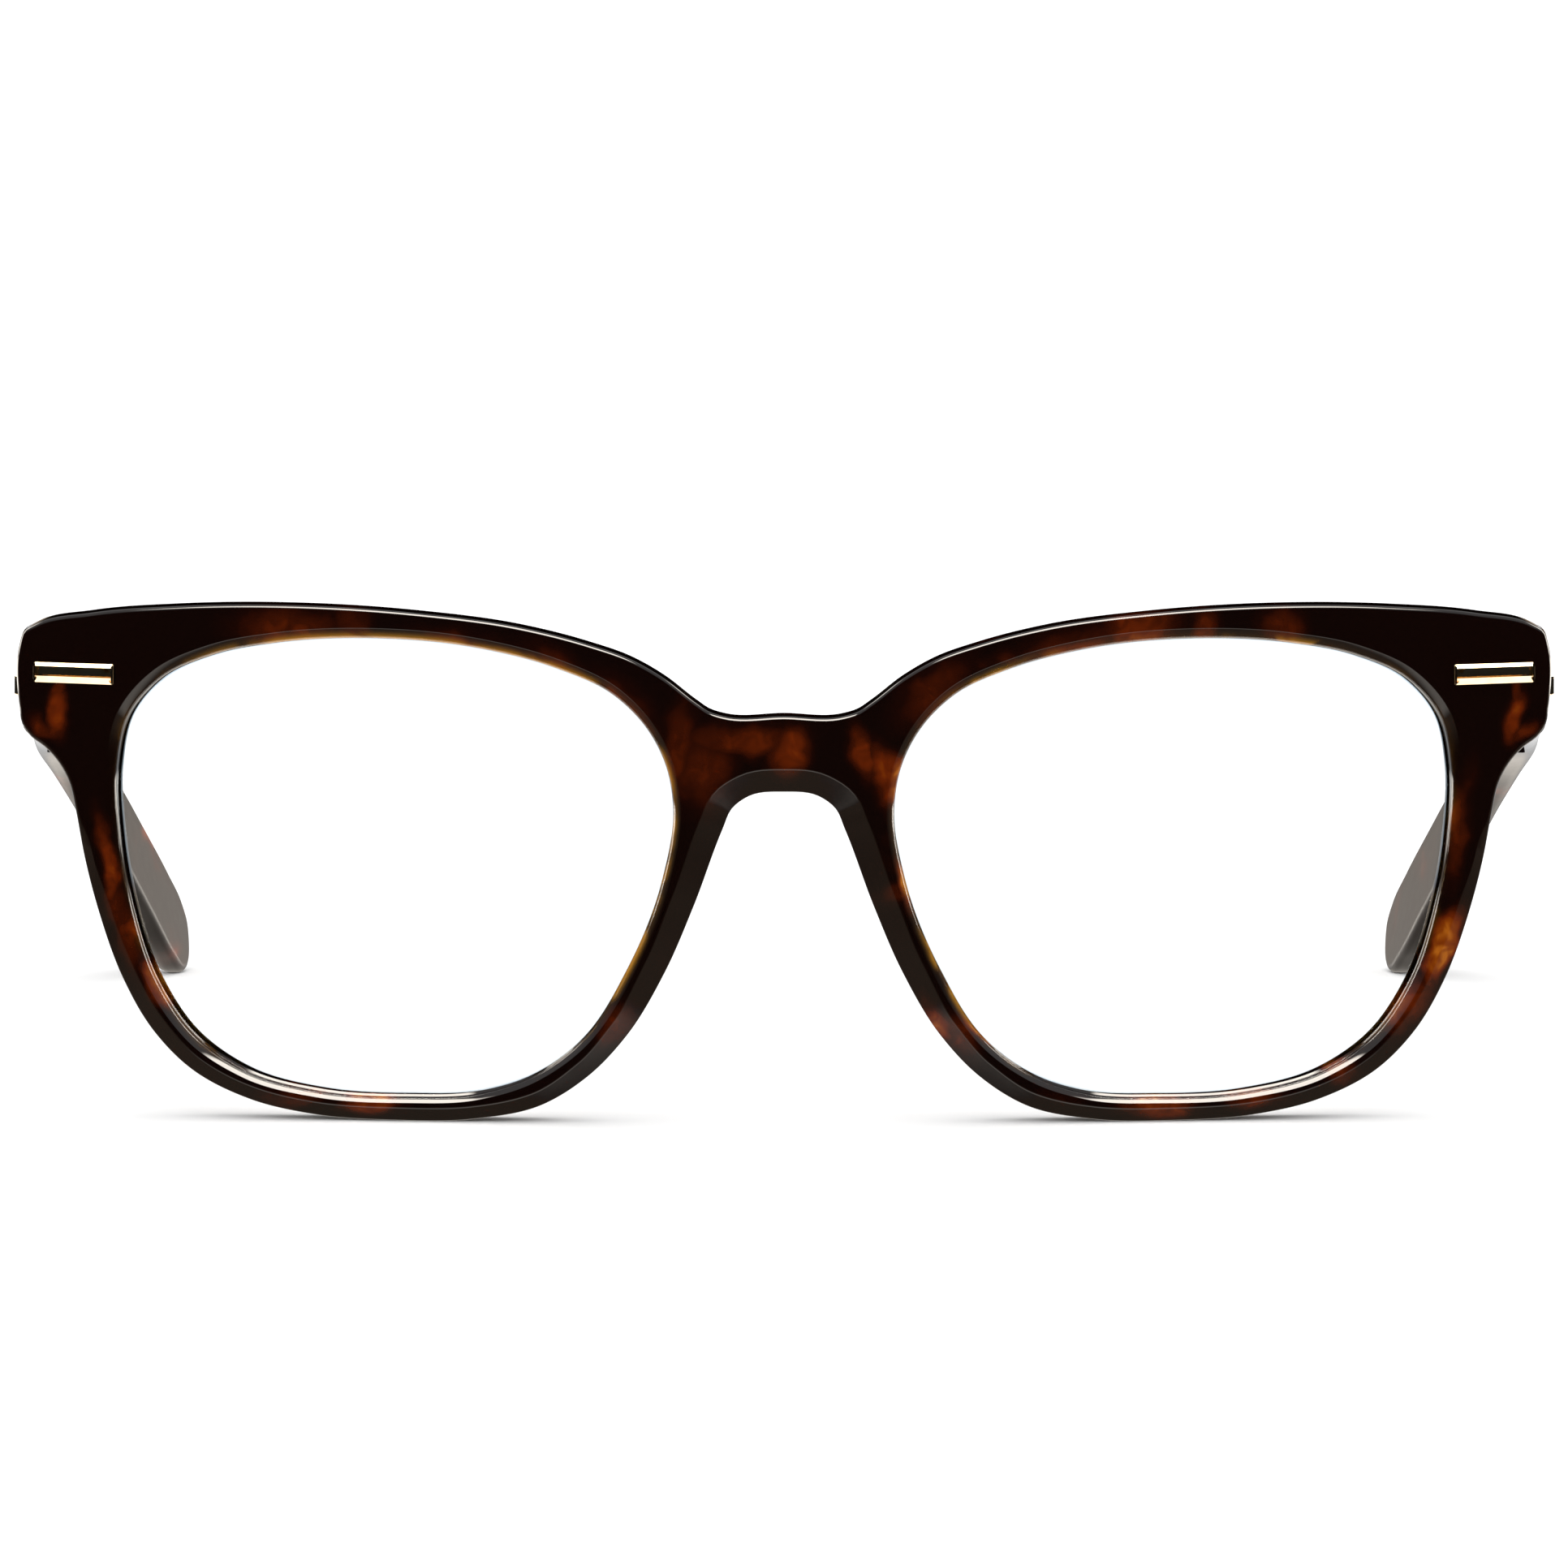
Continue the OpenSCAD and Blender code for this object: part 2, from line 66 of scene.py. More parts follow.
def rear(x):
    return sag(x, WRAP_R - FRONT_T)


def cover_half(s):
    return 4.3 - (s - COVER_START) * 0.01


# ---- Curves ----
def resample(p, step, closed):
    q = np.vstack([p, p[:1]]) if closed else p
    along = np.concatenate([[0], np.cumsum(np.linalg.norm(np.diff(q[:, :2], axis=0), axis=1))])
    count = max(8, round(along[-1] / step))
    at = np.linspace(0, along[-1], count, endpoint=not closed)
    return np.stack([np.interp(at, along, q[:, c]) for c in range(q.shape[1])], 1)


def smooth_line(points, step=0.5, closed=False):
    """Even points on a smooth curve through given ones; columns after the first two blend along it."""
    p = np.array(points, float)
    n, xy = len(p), np.array(points, float)[:, :2]
    chord = np.linalg.norm(np.roll(xy, -1, 0) - xy, axis=1)
    slope = np.zeros_like(xy)
    for i in range(n):
        if not closed and i in (0, n - 1):
            j = max(1, i)
            slope[i] = (xy[j] - xy[j - 1]) / chord[j - 1]
        else:
            a, b = chord[i - 1], chord[i]
            slope[i] = ((xy[i] - xy[i - 1]) * b / a + (xy[(i + 1) % n] - xy[i]) * a / b) / (a + b)
    t = np.linspace(0, 1, 24, endpoint=False)[:, None]
    spans = []
    for i in range(n if closed else n - 1):
        j, h = (i + 1) % n, chord[i]
        at = (xy[i] * (2 * t**3 - 3 * t**2 + 1) + slope[i] * h * (t**3 - 2 * t**2 + t)
              + xy[j] * (3 * t**2 - 2 * t**3) + slope[j] * h * (t**3 - t**2))
        ease = t * t * (3 - 2 * t)
        spans.append(np.hstack([at, p[i, 2:] * (1 - ease) + p[j, 2:] * ease]))
    if not closed:
        spans.append(p[-1:])
    return resample(np.vstack(spans), step, closed)


def right_of(p, closed=True):
    """Unit vectors to the right of a line's direction of travel."""
    if closed:
        t = np.roll(p, -1, 0) - np.roll(p, 1, 0)
    else:
        t = np.gradient(p, axis=0)
    t = t[:, :2] / np.linalg.norm(t[:, :2], axis=1)[:, None]
    return np.stack([t[:, 1], -t[:, 0]], 1)


def corner_arcs(corners, r, seg):
    """Quarter rounds joined by straight lines, clockwise: each corner is (across, up, first angle)."""
    turns = [(a, b, math.radians(q - k * 90 / seg)) for a, b, q in corners for k in range(seg + 1)]
    return np.array([[a + r * math.cos(turn), b + r * math.sin(turn)] for a, b, turn in turns])


def rounded_box(a0, a1, b0, b1, r, seg=6):
    corners = ((a1 - r, b1 - r, 90), (a1 - r, b0 + r, 0), (a0 + r, b0 + r, -90), (a0 + r, b1 - r, -180))
    return corner_arcs(corners, r, seg)


def slot_line(s0, s1, h0, h1, r, seg=8):
    """A tapered slot with round corners: half height h0 at its front end and h1 at its back end."""
    corners = ((s1 - r, h1 - r, 90), (s1 - r, r - h1, 0), (s0 + r, r - h0, -90), (s0 + r, h0 - r, -180))
    return corner_arcs(corners, r, seg)


def circle(a, b, r, n=24):
    turn = -np.linspace(0, 2 * math.pi, n, endpoint=False)
    return np.stack([a + r * np.cos(turn), b + r * np.sin(turn)], 1)


def fillet(r, seg=5):
    """(inset, depth) of a quarter round, from the face to the wall."""
    a = np.linspace(0, math.pi / 2, seg + 1)
    return [(r * (1 - math.sin(k)), r * (1 - math.cos(k))) for k in a]


# Width of the flat step on a face next to a rounded edge
MARGIN = 0.16


def margin(profile):
    """Adds a flat step on the face, so that shading on the face stays even right up to its edge."""
    return [(profile[0][0] + MARGIN, profile[0][1])] + profile


def facet(w, h, ease=0.1, ease_in=None):
    """(inset, depth) of a flat chamfer with its two edges just broken, from the face to the wall."""
    length = np.sqrt(w * w + h * h)
    ease_in = ease if ease_in is None else ease_in
    along, deep = -w / length, h / length
    # Each edge is a curve from a start to an end, pulled towards the sharp corner; w may be an array
    face, corner, slope = (w + ease, 0 * w), (w, 0 * w), (w + along * ease, deep * ease)
    foot, inner_corner, wall = (-along * ease_in, h - deep * ease_in), (0 * w, h), (0 * w, h + ease_in)

    def bend(p, q, r, t):
        return tuple((1 - t) ** 2 * p[k] + 2 * t * (1 - t) * q[k] + t * t * r[k] for k in (0, 1))

    return ([face, bend(face, corner, slope, 0.5), slope, foot]
            + [bend(foot, inner_corner, wall, t) for t in (0.25, 0.5, 0.75)] + [wall])


# ---- Meshes ----
def inside(points, loops):
    """Which points lie within an odd number of loops."""
    hit = np.zeros(len(points), bool)
    for loop in loops:
        for (ax, ay), (bx, by) in zip(loop, np.roll(loop, -1, 0)):
            if ay == by:
                continue
            cross = (ay > points[:, 1]) != (by > points[:, 1])
            hit ^= cross & (points[:, 0] < (bx - ax) * (points[:, 1] - ay) / (by - ay) + ax)
    return hit


def cap(verts, faces, loops, flatten, lift, spacing):
    """Fills the area between a loop and the holes in it with even triangles on a curved surface."""
    flat = [flatten(np.array([verts[i] for i in loop])) for loop in loops]
    line, ids = np.vstack(flat), [i for loop in loops for i in loop]
    tree = KDTree(len(line))
    for i, p in enumerate(line):
        tree.insert((p[0], p[1], 0), i)
    tree.balance()
    lo, hi = line.min(0), line.max(0)
    ga, gb = np.meshgrid(np.arange(lo[0], hi[0], spacing), np.arange(lo[1], hi[1], spacing * 0.866))
    ga = ga + (np.arange(ga.shape[0]) % 2)[:, None] * spacing / 2
    grid = np.stack([ga.ravel(), gb.ravel()], 1)
    grid = grid[inside(grid, flat)]
    grid = np.array([g for g in grid if tree.find((g[0], g[1], 0))[2] > spacing * 0.6]).reshape(-1, 2)
    edges, start = [], 0
    for loop in loops:
        edges += [(start + i, start + (i + 1) % len(loop)) for i in range(len(loop))]
        start += len(loop)
    points = np.vstack([line, grid])
    base = len(verts)
    verts.extend(lift(grid).tolist())
    ids += list(range(base, base + len(grid)))
    made = delaunay_2d_cdt([Vector(p) for p in points], edges, [], 0, 1e-7, True)
    corners, _, triangles, origins = made[:4]
    where = [ids[o[0]] if o else -1 for o in origins]
    mid = np.array([np.mean([corners[i][:] for i in t], 0) for t in triangles])
    for t, ok in zip(triangles, inside(mid, flat)):
        if ok and -1 not in [where[i] for i in t]:
            faces.append([where[i] for i in t])


def solid(walls, flatten, lift_a, lift_b, spacing, blind=()):
    """A closed shape: walls are lists of rings from face a to face b, the first round the outside. Blind
    walls start on face a and end in a floor."""
    verts, faces, first, last = [], [], [], []

    def rings_of(rings):
        start = [len(verts) + k * len(rings[0]) for k in range(len(rings))]
        for r in rings:
            verts.extend(np.asarray(r, float).tolist())
        n = len(rings[0])
        for a, b in zip(start, start[1:]):
            faces.extend([a + i, a + (i + 1) % n, b + (i + 1) % n, b + i] for i in range(n))
        return [list(range(s, s + n)) for s in (start[0], start[-1])]

    for rings in walls:
        a, b = rings_of(rings)
        first.append(a)
        last.append(b)
    for rings in blind:
        a, b = rings_of(rings)
        first.append(a)
        faces.append(b)
    cap(verts, faces, first, flatten, lift_a, spacing)
    cap(verts, faces, last, flatten, lift_b, spacing)
    return np.array(verts), faces


def add_mesh(name, verts, faces):
    mesh = bpy.data.meshes.new(name)
    mesh.from_pydata((np.asarray(verts) * MM).tolist(), [], [list(f) for f in faces])
    bm = bmesh.new()
    bm.from_mesh(mesh)
    bmesh.ops.remove_doubles(bm, verts=bm.verts, dist=1e-6)
    bmesh.ops.recalc_face_normals(bm, faces=bm.faces)
    bm.to_mesh(mesh)
    bm.free()
    obj = bpy.data.objects.new(name, mesh)
    bpy.context.scene.collection.objects.link(obj)
    return obj


def shade(obj, sharp=38):
    """Smooth shading, with edges sharper than an angle in degrees kept crisp."""
    obj.data.shade_smooth()
    obj.data.set_sharp_from_angle(angle=math.radians(sharp))
    m = obj.modifiers.new("even_normals", "WEIGHTED_NORMAL")
    m.keep_sharp, m.weight = True, 60
    return obj


def cut(obj, cutters):
    """Cuts shapes out of a mesh, for good."""
    for c in cutters:
        m = obj.modifiers.new("cut", "BOOLEAN")
        m.operation, m.solver, m.object = "DIFFERENCE", "EXACT", c
        m.use_hole_tolerant = True
        shape = bpy.data.meshes.new_from_object(obj.evaluated_get(bpy.context.evaluated_depsgraph_get()))
        obj.modifiers.clear()
        obj.data = shape
        bpy.data.objects.remove(c)
    return obj


# ---- Places ----
def hinge_matrix(side):
    m = (Matrix.Translation((HINGE_X, float(sag(HINGE_X)) + FRONT_T + HINGE_BACK - MID_Y, HINGE_Z))
         @ Matrix.Rotation(-DROP, 4, "X") @ Matrix.Rotation(-SPLAY, 4, "Z"))
    return np.array(Matrix.Scale(side, 4, (1, 0, 0)) @ m)


def to_hinge(points, side):
    p = np.asarray(points, float)
    m = hinge_matrix(side)
    return p @ m[:3, :3].T + m[:3, 3]


def on_front(points, x0, z0, side, turn=0.0):
    """From a frame on the front's face, (across, into the acetate, up), to the object's."""
    p = np.asarray(points, float)
    a = p[..., 0] * math.cos(turn) - p[..., 2] * math.sin(turn)
    c = p[..., 0] * math.sin(turn) + p[..., 2] * math.cos(turn)
    w = math.asin(x0 / WRAP_R)
    x = x0 + a * math.cos(w) - p[..., 1] * math.sin(w)
    y = float(sag(x0)) + a * math.sin(w) + p[..., 1] * math.cos(w) - MID_Y
    return np.stack([side * x, y, z0 + c], -1)


# ---- Outlines: points of the front, with the width of the lower chamfer ----
BROW = [[5.5, 37.7, 0], [6.8, 38.1, 0], [8, 38.9, 0], [11, 41.2, 0], [14, 42.9, 0], [18, 44.3, 0],
        [24, 45.8, 0], [34, 47.1, 0], [45, 47.7, 0], [56, 47.5, 0], [64, 46.8, 0], [69.2, 45.7, 0],
        [70.3, 45.0, 0], [70.7, 43.8, 0], [70.75, 38, 0], [70.5, 36.4, 0], [69.7, 35.25, 0]]
CHEEK = [[68.4, 34.3, 0], [67.2, 33, 0], [66.1, 31, 0], [65.5, 28.4, 0.3], [64.8, 24.4, 0.9],
         [63.3, 18.5, 1.3], [61.3, 13, 1.45], [58.4, 8, 1.5], [55, 4.6, 1.4], [49.4, 1.8, 1.3],
         [43.5, 0.5, 1.25], [36, 0.05, 1.25], [28.5, 0.25, 1.25], [22.5, 1.5, 1.4], [18, 4.3, 1.6],
         [14.5, 8, 1.8], [11, 13.8, 2.05], [8.3, 20, 2.2], [5.6, 27.2, 2.3], [4.8, 29, 2.3], [3.2, 30.2, 2.2]]
EYE = [[-25.8, 6, .8], [-25.3, 9.1, .8], [-23.4, 13, .85], [-20.2, 16.2, .9], [-15, 18.6, .95],
       [-8, 20.4, .95], [2, 21.3, .95], [11, 20.8, .95], [17, 19.6, .95], [21.8, 17.4, .95],
       [24.9, 13.9, .95], [26, 9, .95], [25.8, 3, .95], [24.6, -4, .9], [22.3, -10.8, .8],
       [19, -15.6, .65], [14, -19, .5], [7, -20.8, .45], [-1, -21.2, .45], [-8, -20.8, .45],
       [-13, -19.1, .5], [-17.5, -15.7, .6], [-21.5, -9.4, .75], [-24.8, -1, .8]]
HALF = BROW + CHEEK
MIRRORED_HALF = [[-x, z, w] for x, z, w in reversed(HALF)]
OUTLINE = smooth_line([[0, 37.7, 0]] + HALF + [[0, 30.6, 2.2]] + MIRRORED_HALF, closed=True)
EYE_LINE = smooth_line(EYE, closed=True)


# ---- Front ----
FRONT_FILLET, REAR_FILLET, EYE_REAR_FILLET = 0.4, 0.75, 0.5
# Depth of a chamfer for its width: round the outside, and in the lens openings
RIM_SLOPE, EYE_SLOPE = 0.72, 0.85
# How far the rounding from an opening's chamfer into its wall reaches, for the chamfer's width
EASE_IN = 0.4
GROOVE, LENS_GAP = 0.62, 0.03


def front_walls():
    line, inward = OUTLINE, right_of(OUTLINE)
    w = line[:, 2]
    # Where the chamfer is narrow it turns into a fillet
    soft = np.clip(w / 0.7, 0, 1)
    soft = soft * soft * (3 - 2 * soft)
    wide = np.maximum(w, FRONT_FILLET)
    rings = []
    for (fe, fd), (ce, cd) in zip(margin(fillet(FRONT_FILLET, 7)), margin(facet(wide, RIM_SLOPE * wide))):
        e, d = fe * (1 - soft) + ce * soft, fd * (1 - soft) + cd * soft
        xz = line[:, :2] + inward * e[:, None]
        rings.append(np.stack([xz[:, 0], sag(xz[:, 0]) + d - MID_Y, xz[:, 1]], 1))
    for e, d in reversed(margin(fillet(REAR_FILLET))):
        xz = line[:, :2] + inward * e
        rings.append(np.stack([xz[:, 0], rear(xz[:, 0]) - d - MID_Y, xz[:, 1]], 1))
    return rings


def lens_front(p):
    return LENS_APEX + LENS_R - np.sqrt(LENS_R**2 - p[:, 0] ** 2 - p[:, 1] ** 2)


def lens_back(p):
    r = LENS_R - LENS_T
    return LENS_APEX + LENS_R - np.sqrt(r * r - p[:, 0] ** 2 - p[:, 1] ** 2)


def eye_walls(side):
    line, out = EYE_LINE, -right_of(EYE_LINE)
    wide = line[:, 2]
    rings = []

    def ring(e, depth):
        p = line[:, :2] + out * (np.zeros(len(line)) + e)[:, None]
        v = depth(p)
        rings.append(on_front(np.stack([p[:, 0], v, p[:, 1]], 1), LENS_X, LENS_Z, side))

    for e, d in margin(facet(wide, EYE_SLOPE * wide, 0.05, EASE_IN * wide)):
        ring(e, lambda p, d=d: sag(p[:, 0]) + d)
    # A fine chamfered lip holds the lens from the front: widest below, and steepest at the sides
    lip = 0.3 - 0.24 * wide
    lip_deep = lip * (0.93 + 1.1 * out[:, 0] ** 2)

    def lip_edge(p):
        lowest = sag(p[:, 0]) + (EYE_SLOPE + 0.05 + EASE_IN) * wide + lip_deep
        return np.maximum(lens_front(p) - LENS_GAP, lowest)

    ring(0, lambda p: lip_edge(p) - lip_deep)
    ring(-lip, lip_edge)
    ring(GROOVE, lens_front)
    ring(GROOVE, lambda p: lens_back(p) + LENS_GAP)
    ring(0, lambda p: lens_back(p) + LENS_GAP)
    for e, d in reversed(margin(fillet(EYE_REAR_FILLET))):
        ring(e, lambda p, d=d: rear(p[:, 0]) - d)
    return rings


def plaque_pocket(side):
    half_length, half_height = BAR_LEN / 2 + 0.05, BAR_H / 2 + 0.05
    line = rounded_box(-half_length, half_length, -half_height, half_height, 0.5)
    rings = []
    for e, v in ((0.04, 0), (0, 0.05), (0, 0.4)):
        p = line - right_of(line) * e
        flat = np.stack([p[:, 0], sag(p[:, 0]) + v, p[:, 1]], 1)
        rings.append(on_front(flat, PLAQUE_X, PLAQUE_Z, side, BAR_TILT))
    return rings


def on_face(depth):
    return lambda p: np.stack([p[:, 0], depth(p[:, 0]) - MID_Y, p[:, 1]], 1)


def near_eye(obj, rule):
    """Stores how close each point is to the edge of a lens opening, for the materials."""
    p = np.array([v.co for v in obj.data.vertices]) / MM
    value = np.zeros(len(p))
    tree = KDTree(len(EYE_LINE))
    for i, q in enumerate(EYE_LINE):
        tree.insert((q[0], q[1], 0), i)
    tree.balance()
    w = math.asin(LENS_X / WRAP_R)
    for side in (1, -1):
        x = side * p[:, 0] - LENS_X
        y = p[:, 1] + MID_Y - float(sag(LENS_X))
        across, up = x * math.cos(w) + y * math.sin(w), p[:, 2] - LENS_Z
        for i in np.flatnonzero(np.abs(across) < 32):
            _, near, gap = tree.find((across[i], up[i], 0))
            value[i] = max(value[i], rule(gap, EYE_LINE[near, 2]))
    obj.data.attributes.new("near_eye", "FLOAT", "POINT").data.foreach_set("value", value)
    return obj


def xz_of(p):
    return p[:, [0, 2]]


front = add_mesh("front_acetate", *solid(
    [front_walls(), eye_walls(1), eye_walls(-1)], xz_of, on_face(sag), on_face(rear), 1.1,
    blind=[plaque_pocket(1), plaque_pocket(-1)]))
# How close the front is to the lens openings: the mask for the painted glow of light through their thin edges
near_eye(shade(front), lambda gap, w: np.clip(1.05 - gap / w, 0, 1))


def make_lens(side):
    line, out = EYE_LINE, -right_of(EYE_LINE)
    steps = [(-1.2, 0), (-0.5, 0), (0, 0), (0.5, 0), (0.56, 0.05)]
    steps = [(e, lens_front, d) for e, d in steps] + [(e, lens_back, -d) for e, d in reversed(steps)]
    rings = []
    for e, surface, d in steps:
        p = line[:, :2] + out * e
        rings.append(np.stack([p[:, 0], surface(p) + d, p[:, 1]], 1))
    lift = lambda surface: (lambda p: np.stack([p[:, 0], surface(p), p[:, 1]], 1))
    verts, faces = solid([rings], xz_of, lift(lens_front), lift(lens_back), 1.6)
    lens = shade(add_mesh(f"clear_lens_{NAMES[side]}", on_front(verts, LENS_X, LENS_Z, side), faces))
    # How close the lens is to its edge: the mask for its painted bluish-grey reflection
    return near_eye(lens, lambda gap, w: np.clip(1 - gap / 0.5, 0, 1))


# Edges sharper than this stay crisp on the bars, in degrees
BAR_SHARP = 12


def bar_solid(proud, sink, pins, low_facet=0.0, end_facet=0.05):
    """A polished bar with facets, seen from -Y, centred, with two pins: (across, into, up). pins says how
    far from the middle they are and how deep they end."""
    line = rounded_box(-BAR_LEN / 2, BAR_LEN / 2, -BAR_H / 2, BAR_H / 2, 0.16, 4)
    inward = right_of(line)
    rings = []
    # The width of its bevels, which differs at the top, at the bottom and at the ends
    top, low = np.clip(-inward[:, 1], 0, 1) ** 2, np.clip(inward[:, 1], 0, 1) ** 2
    wide = 0.13 + 0.21 * top + low_facet * low + end_facet * inward[:, 0] ** 2
    for e, d in ((wide, 0), (0.03, 0.26), (0, 0.3)):
        p = line + inward * (e + np.zeros(len(line)))[:, None]
        rings.append(np.stack([p[:, 0], np.full(len(p), d - proud), p[:, 1]], 1))
    rings.append(np.stack([line[:, 0], np.full(len(line), sink), line[:, 1]], 1))
    lift = lambda v: (lambda p: np.stack([p[:, 0], np.full(len(p), v), p[:, 1]], 1))
    verts, faces = solid([rings], xz_of, lift(-proud), lift(sink), 0.5)
    pin_at, pin_end = pins
    n = 16
    for at in (-pin_at, pin_at):
        c = circle(at, 0, 0.6, n)
        base = len(verts)
        tube = [np.stack([c[:, 0], np.full(n, v), c[:, 1]], 1) for v in (sink - 0.02, pin_end)]
        verts = np.vstack([verts] + tube)
        faces += [[base + i, base + (i + 1) % n, base + n + (i + 1) % n, base + n + i] for i in range(n)]
        faces += [list(range(base, base + n)), list(range(base + n, base + 2 * n))]
    return verts, faces


PAD_LINE = [[8.1, 26], [8.9, 25], [9.8, 22], [11.2, 18.6], [12.7, 15.2], [12.9, 13.6], [12, 13],
            [10.9, 14.6], [9.1, 18.8], [7.7, 22.8], [7.4, 25]]
# The pad's crest is a leaning round: where it is, its radius, and how far back its axis lies
PAD_X, PAD_Z, PAD_LEAN, PAD_R, PAD_AXIS = 10.4, 19.4, math.radians(22), 5.6, 3.6
# Width of its rounded edge
PAD_EDGE = 1.15


def nose_pad(side):
    outline = smooth_line(PAD_LINE, 0.35, closed=True)
    inward = right_of(outline)

    def crown(p):
        off = (p[:, 0] - PAD_X) * math.cos(PAD_LEAN) + (p[:, 1] - PAD_Z) * math.sin(PAD_LEAN)
        return PAD_AXIS + np.sqrt(np.maximum(PAD_R**2 - off**2, 4))

    def height(p):
        gap = np.min(np.linalg.norm(p[:, None, :] - outline[None, :, :2], axis=2), axis=1)
        k = np.clip(gap / PAD_EDGE, 0, 1)
        low = rear(p[:, 0]) - 0.1
        return low + (crown(p) - low) * (0.35 + 0.65 * np.sqrt(1 - (1 - k) ** 2))

    rings = [np.stack([outline[:, 0], rear(outline[:, 0]) - 0.5, outline[:, 1]], 1)]
    for e in (0, 0.03, 0.1, 0.22, 0.4, 0.62, 0.9):
        p = outline[:, :2] + inward * e
        rings.append(np.stack([p[:, 0], height(p), p[:, 1]], 1))
    lift = lambda p: np.stack([p[:, 0], height(p), p[:, 1]], 1)
    base = lambda p: np.stack([p[:, 0], rear(p[:, 0]) - 0.5, p[:, 1]], 1)
    verts, faces = solid([rings], xz_of, base, lift, 0.5)
    verts[:, 1] -= MID_Y
    verts[:, 0] *= side
    return shade(add_mesh(f"nose_pad_{NAMES[side]}_soft", verts, faces))


# ---- Temples ----
# Seen from the side, (along, up) from the hinge; seen from above, (along the hook's slope, outwards)
SIDE_LINE = smooth_line(
    [[-8, 5.3], [0, 5.3], [40, 4.9], [77, 4.4], [88, 3.6], [97, 1.3], [105, -2.8], [113, -8], [121, -14],
     [126.6, -18.5], [129.9, -21.6], [130.7, -23.8], [129.6, -26.3], [127.2, -28.5], [124.4, -29.15],
     [121.6, -27.7], [116, -23.1], [109.5, -17.7], [102.5, -12.8], [95.5, -9.6], [88, -7.7], [80, -6.5],
     [71, -5.8], [60, -5.4], [40, -5.2], [0, -5.3], [-8, -5.3]], 0.6)
OUTER_PLAN = smooth_line([[-12, TEMPLE_OUT + 0.2], [0, TEMPLE_OUT], [30, 6.3], [60, 5.6], [70, 5], [79, 3.3],
                          [88, 0.8], [98, -2.5], [108, -5.7], [121, -9.6]])
INNER_PLAN = smooth_line([[-12, TEMPLE_IN], [0, TEMPLE_IN], [40, TEMPLE_IN], [66, TEMPLE_IN], [75, 0.85],
                          [83, -0.5], [91, -2.8], [99, -5.5], [108, -8.6], [121, -12.9]])
OUTER_FILLET, INNER_FILLET = 1.5, 0.55


def along_hook(p):
    return p[:, 0] * math.cos(HOOK) - p[:, 1] * math.sin(HOOK)


def outer_x(p):
    return np.interp(along_hook(p), OUTER_PLAN[:, 0], OUTER_PLAN[:, 1])


def inner_x(p):
    return np.interp(along_hook(p), INNER_PLAN[:, 0], INNER_PLAN[:, 1])


# A spacing so wide that a flat end gets no points inside its outline
NO_GRID = 50
# Heights of the openings in a temple's underside
UNDER = (-8, -2)


def sz_of(p):
    return p[:, 1:]


def flat_prism(line, x0, x1, hole=None):
    """A prism in a temple's frame from an outline of (s, z)."""
    outlines = [line] if hole is None else [line, hole]
    walls = [[np.column_stack([np.full(len(o), x), o[:, :2]]) for x in (x0, x1)] for o in outlines]
    lift = lambda x: (lambda p: np.column_stack([np.full(len(p), x), p]))
    return solid(walls, sz_of, lift(x0), lift(x1), NO_GRID)


def upright_prism(line, z0, z1):
    """A prism in a temple's frame from an outline of (x, s)."""
    walls = [[np.column_stack([line[:, :2], np.full(len(line), z)]) for z in (z0, z1)]]
    lift = lambda z: (lambda p: np.column_stack([p, np.full(len(p), z)]))
    return solid(walls, lambda p: p[:, :2], lift(z0), lift(z1), NO_GRID)


def bay_line(gap, s0, s1):
    """A bay under the cover, a rim's width inside the cover's outline."""
    return slot_line(s0 - gap, s1 + gap, cover_half(s0) - 0.95 + gap, cover_half(s1) - 0.95 + gap, 1.2)


def pill(a, b, length, width, n=12):
    """A slot with round ends, longest along its second direction."""
    r, half_straight = width / 2, (length - width) / 2
    turn = np.linspace(0, math.pi, n + 1)
    top = np.stack([a + r * np.cos(turn), b + half_straight + r * np.sin(turn)], 1)
    low = np.stack([a - r * np.cos(turn), b - half_straight - r * np.sin(turn)], 1)
    return np.vstack([top, low])[::-1]


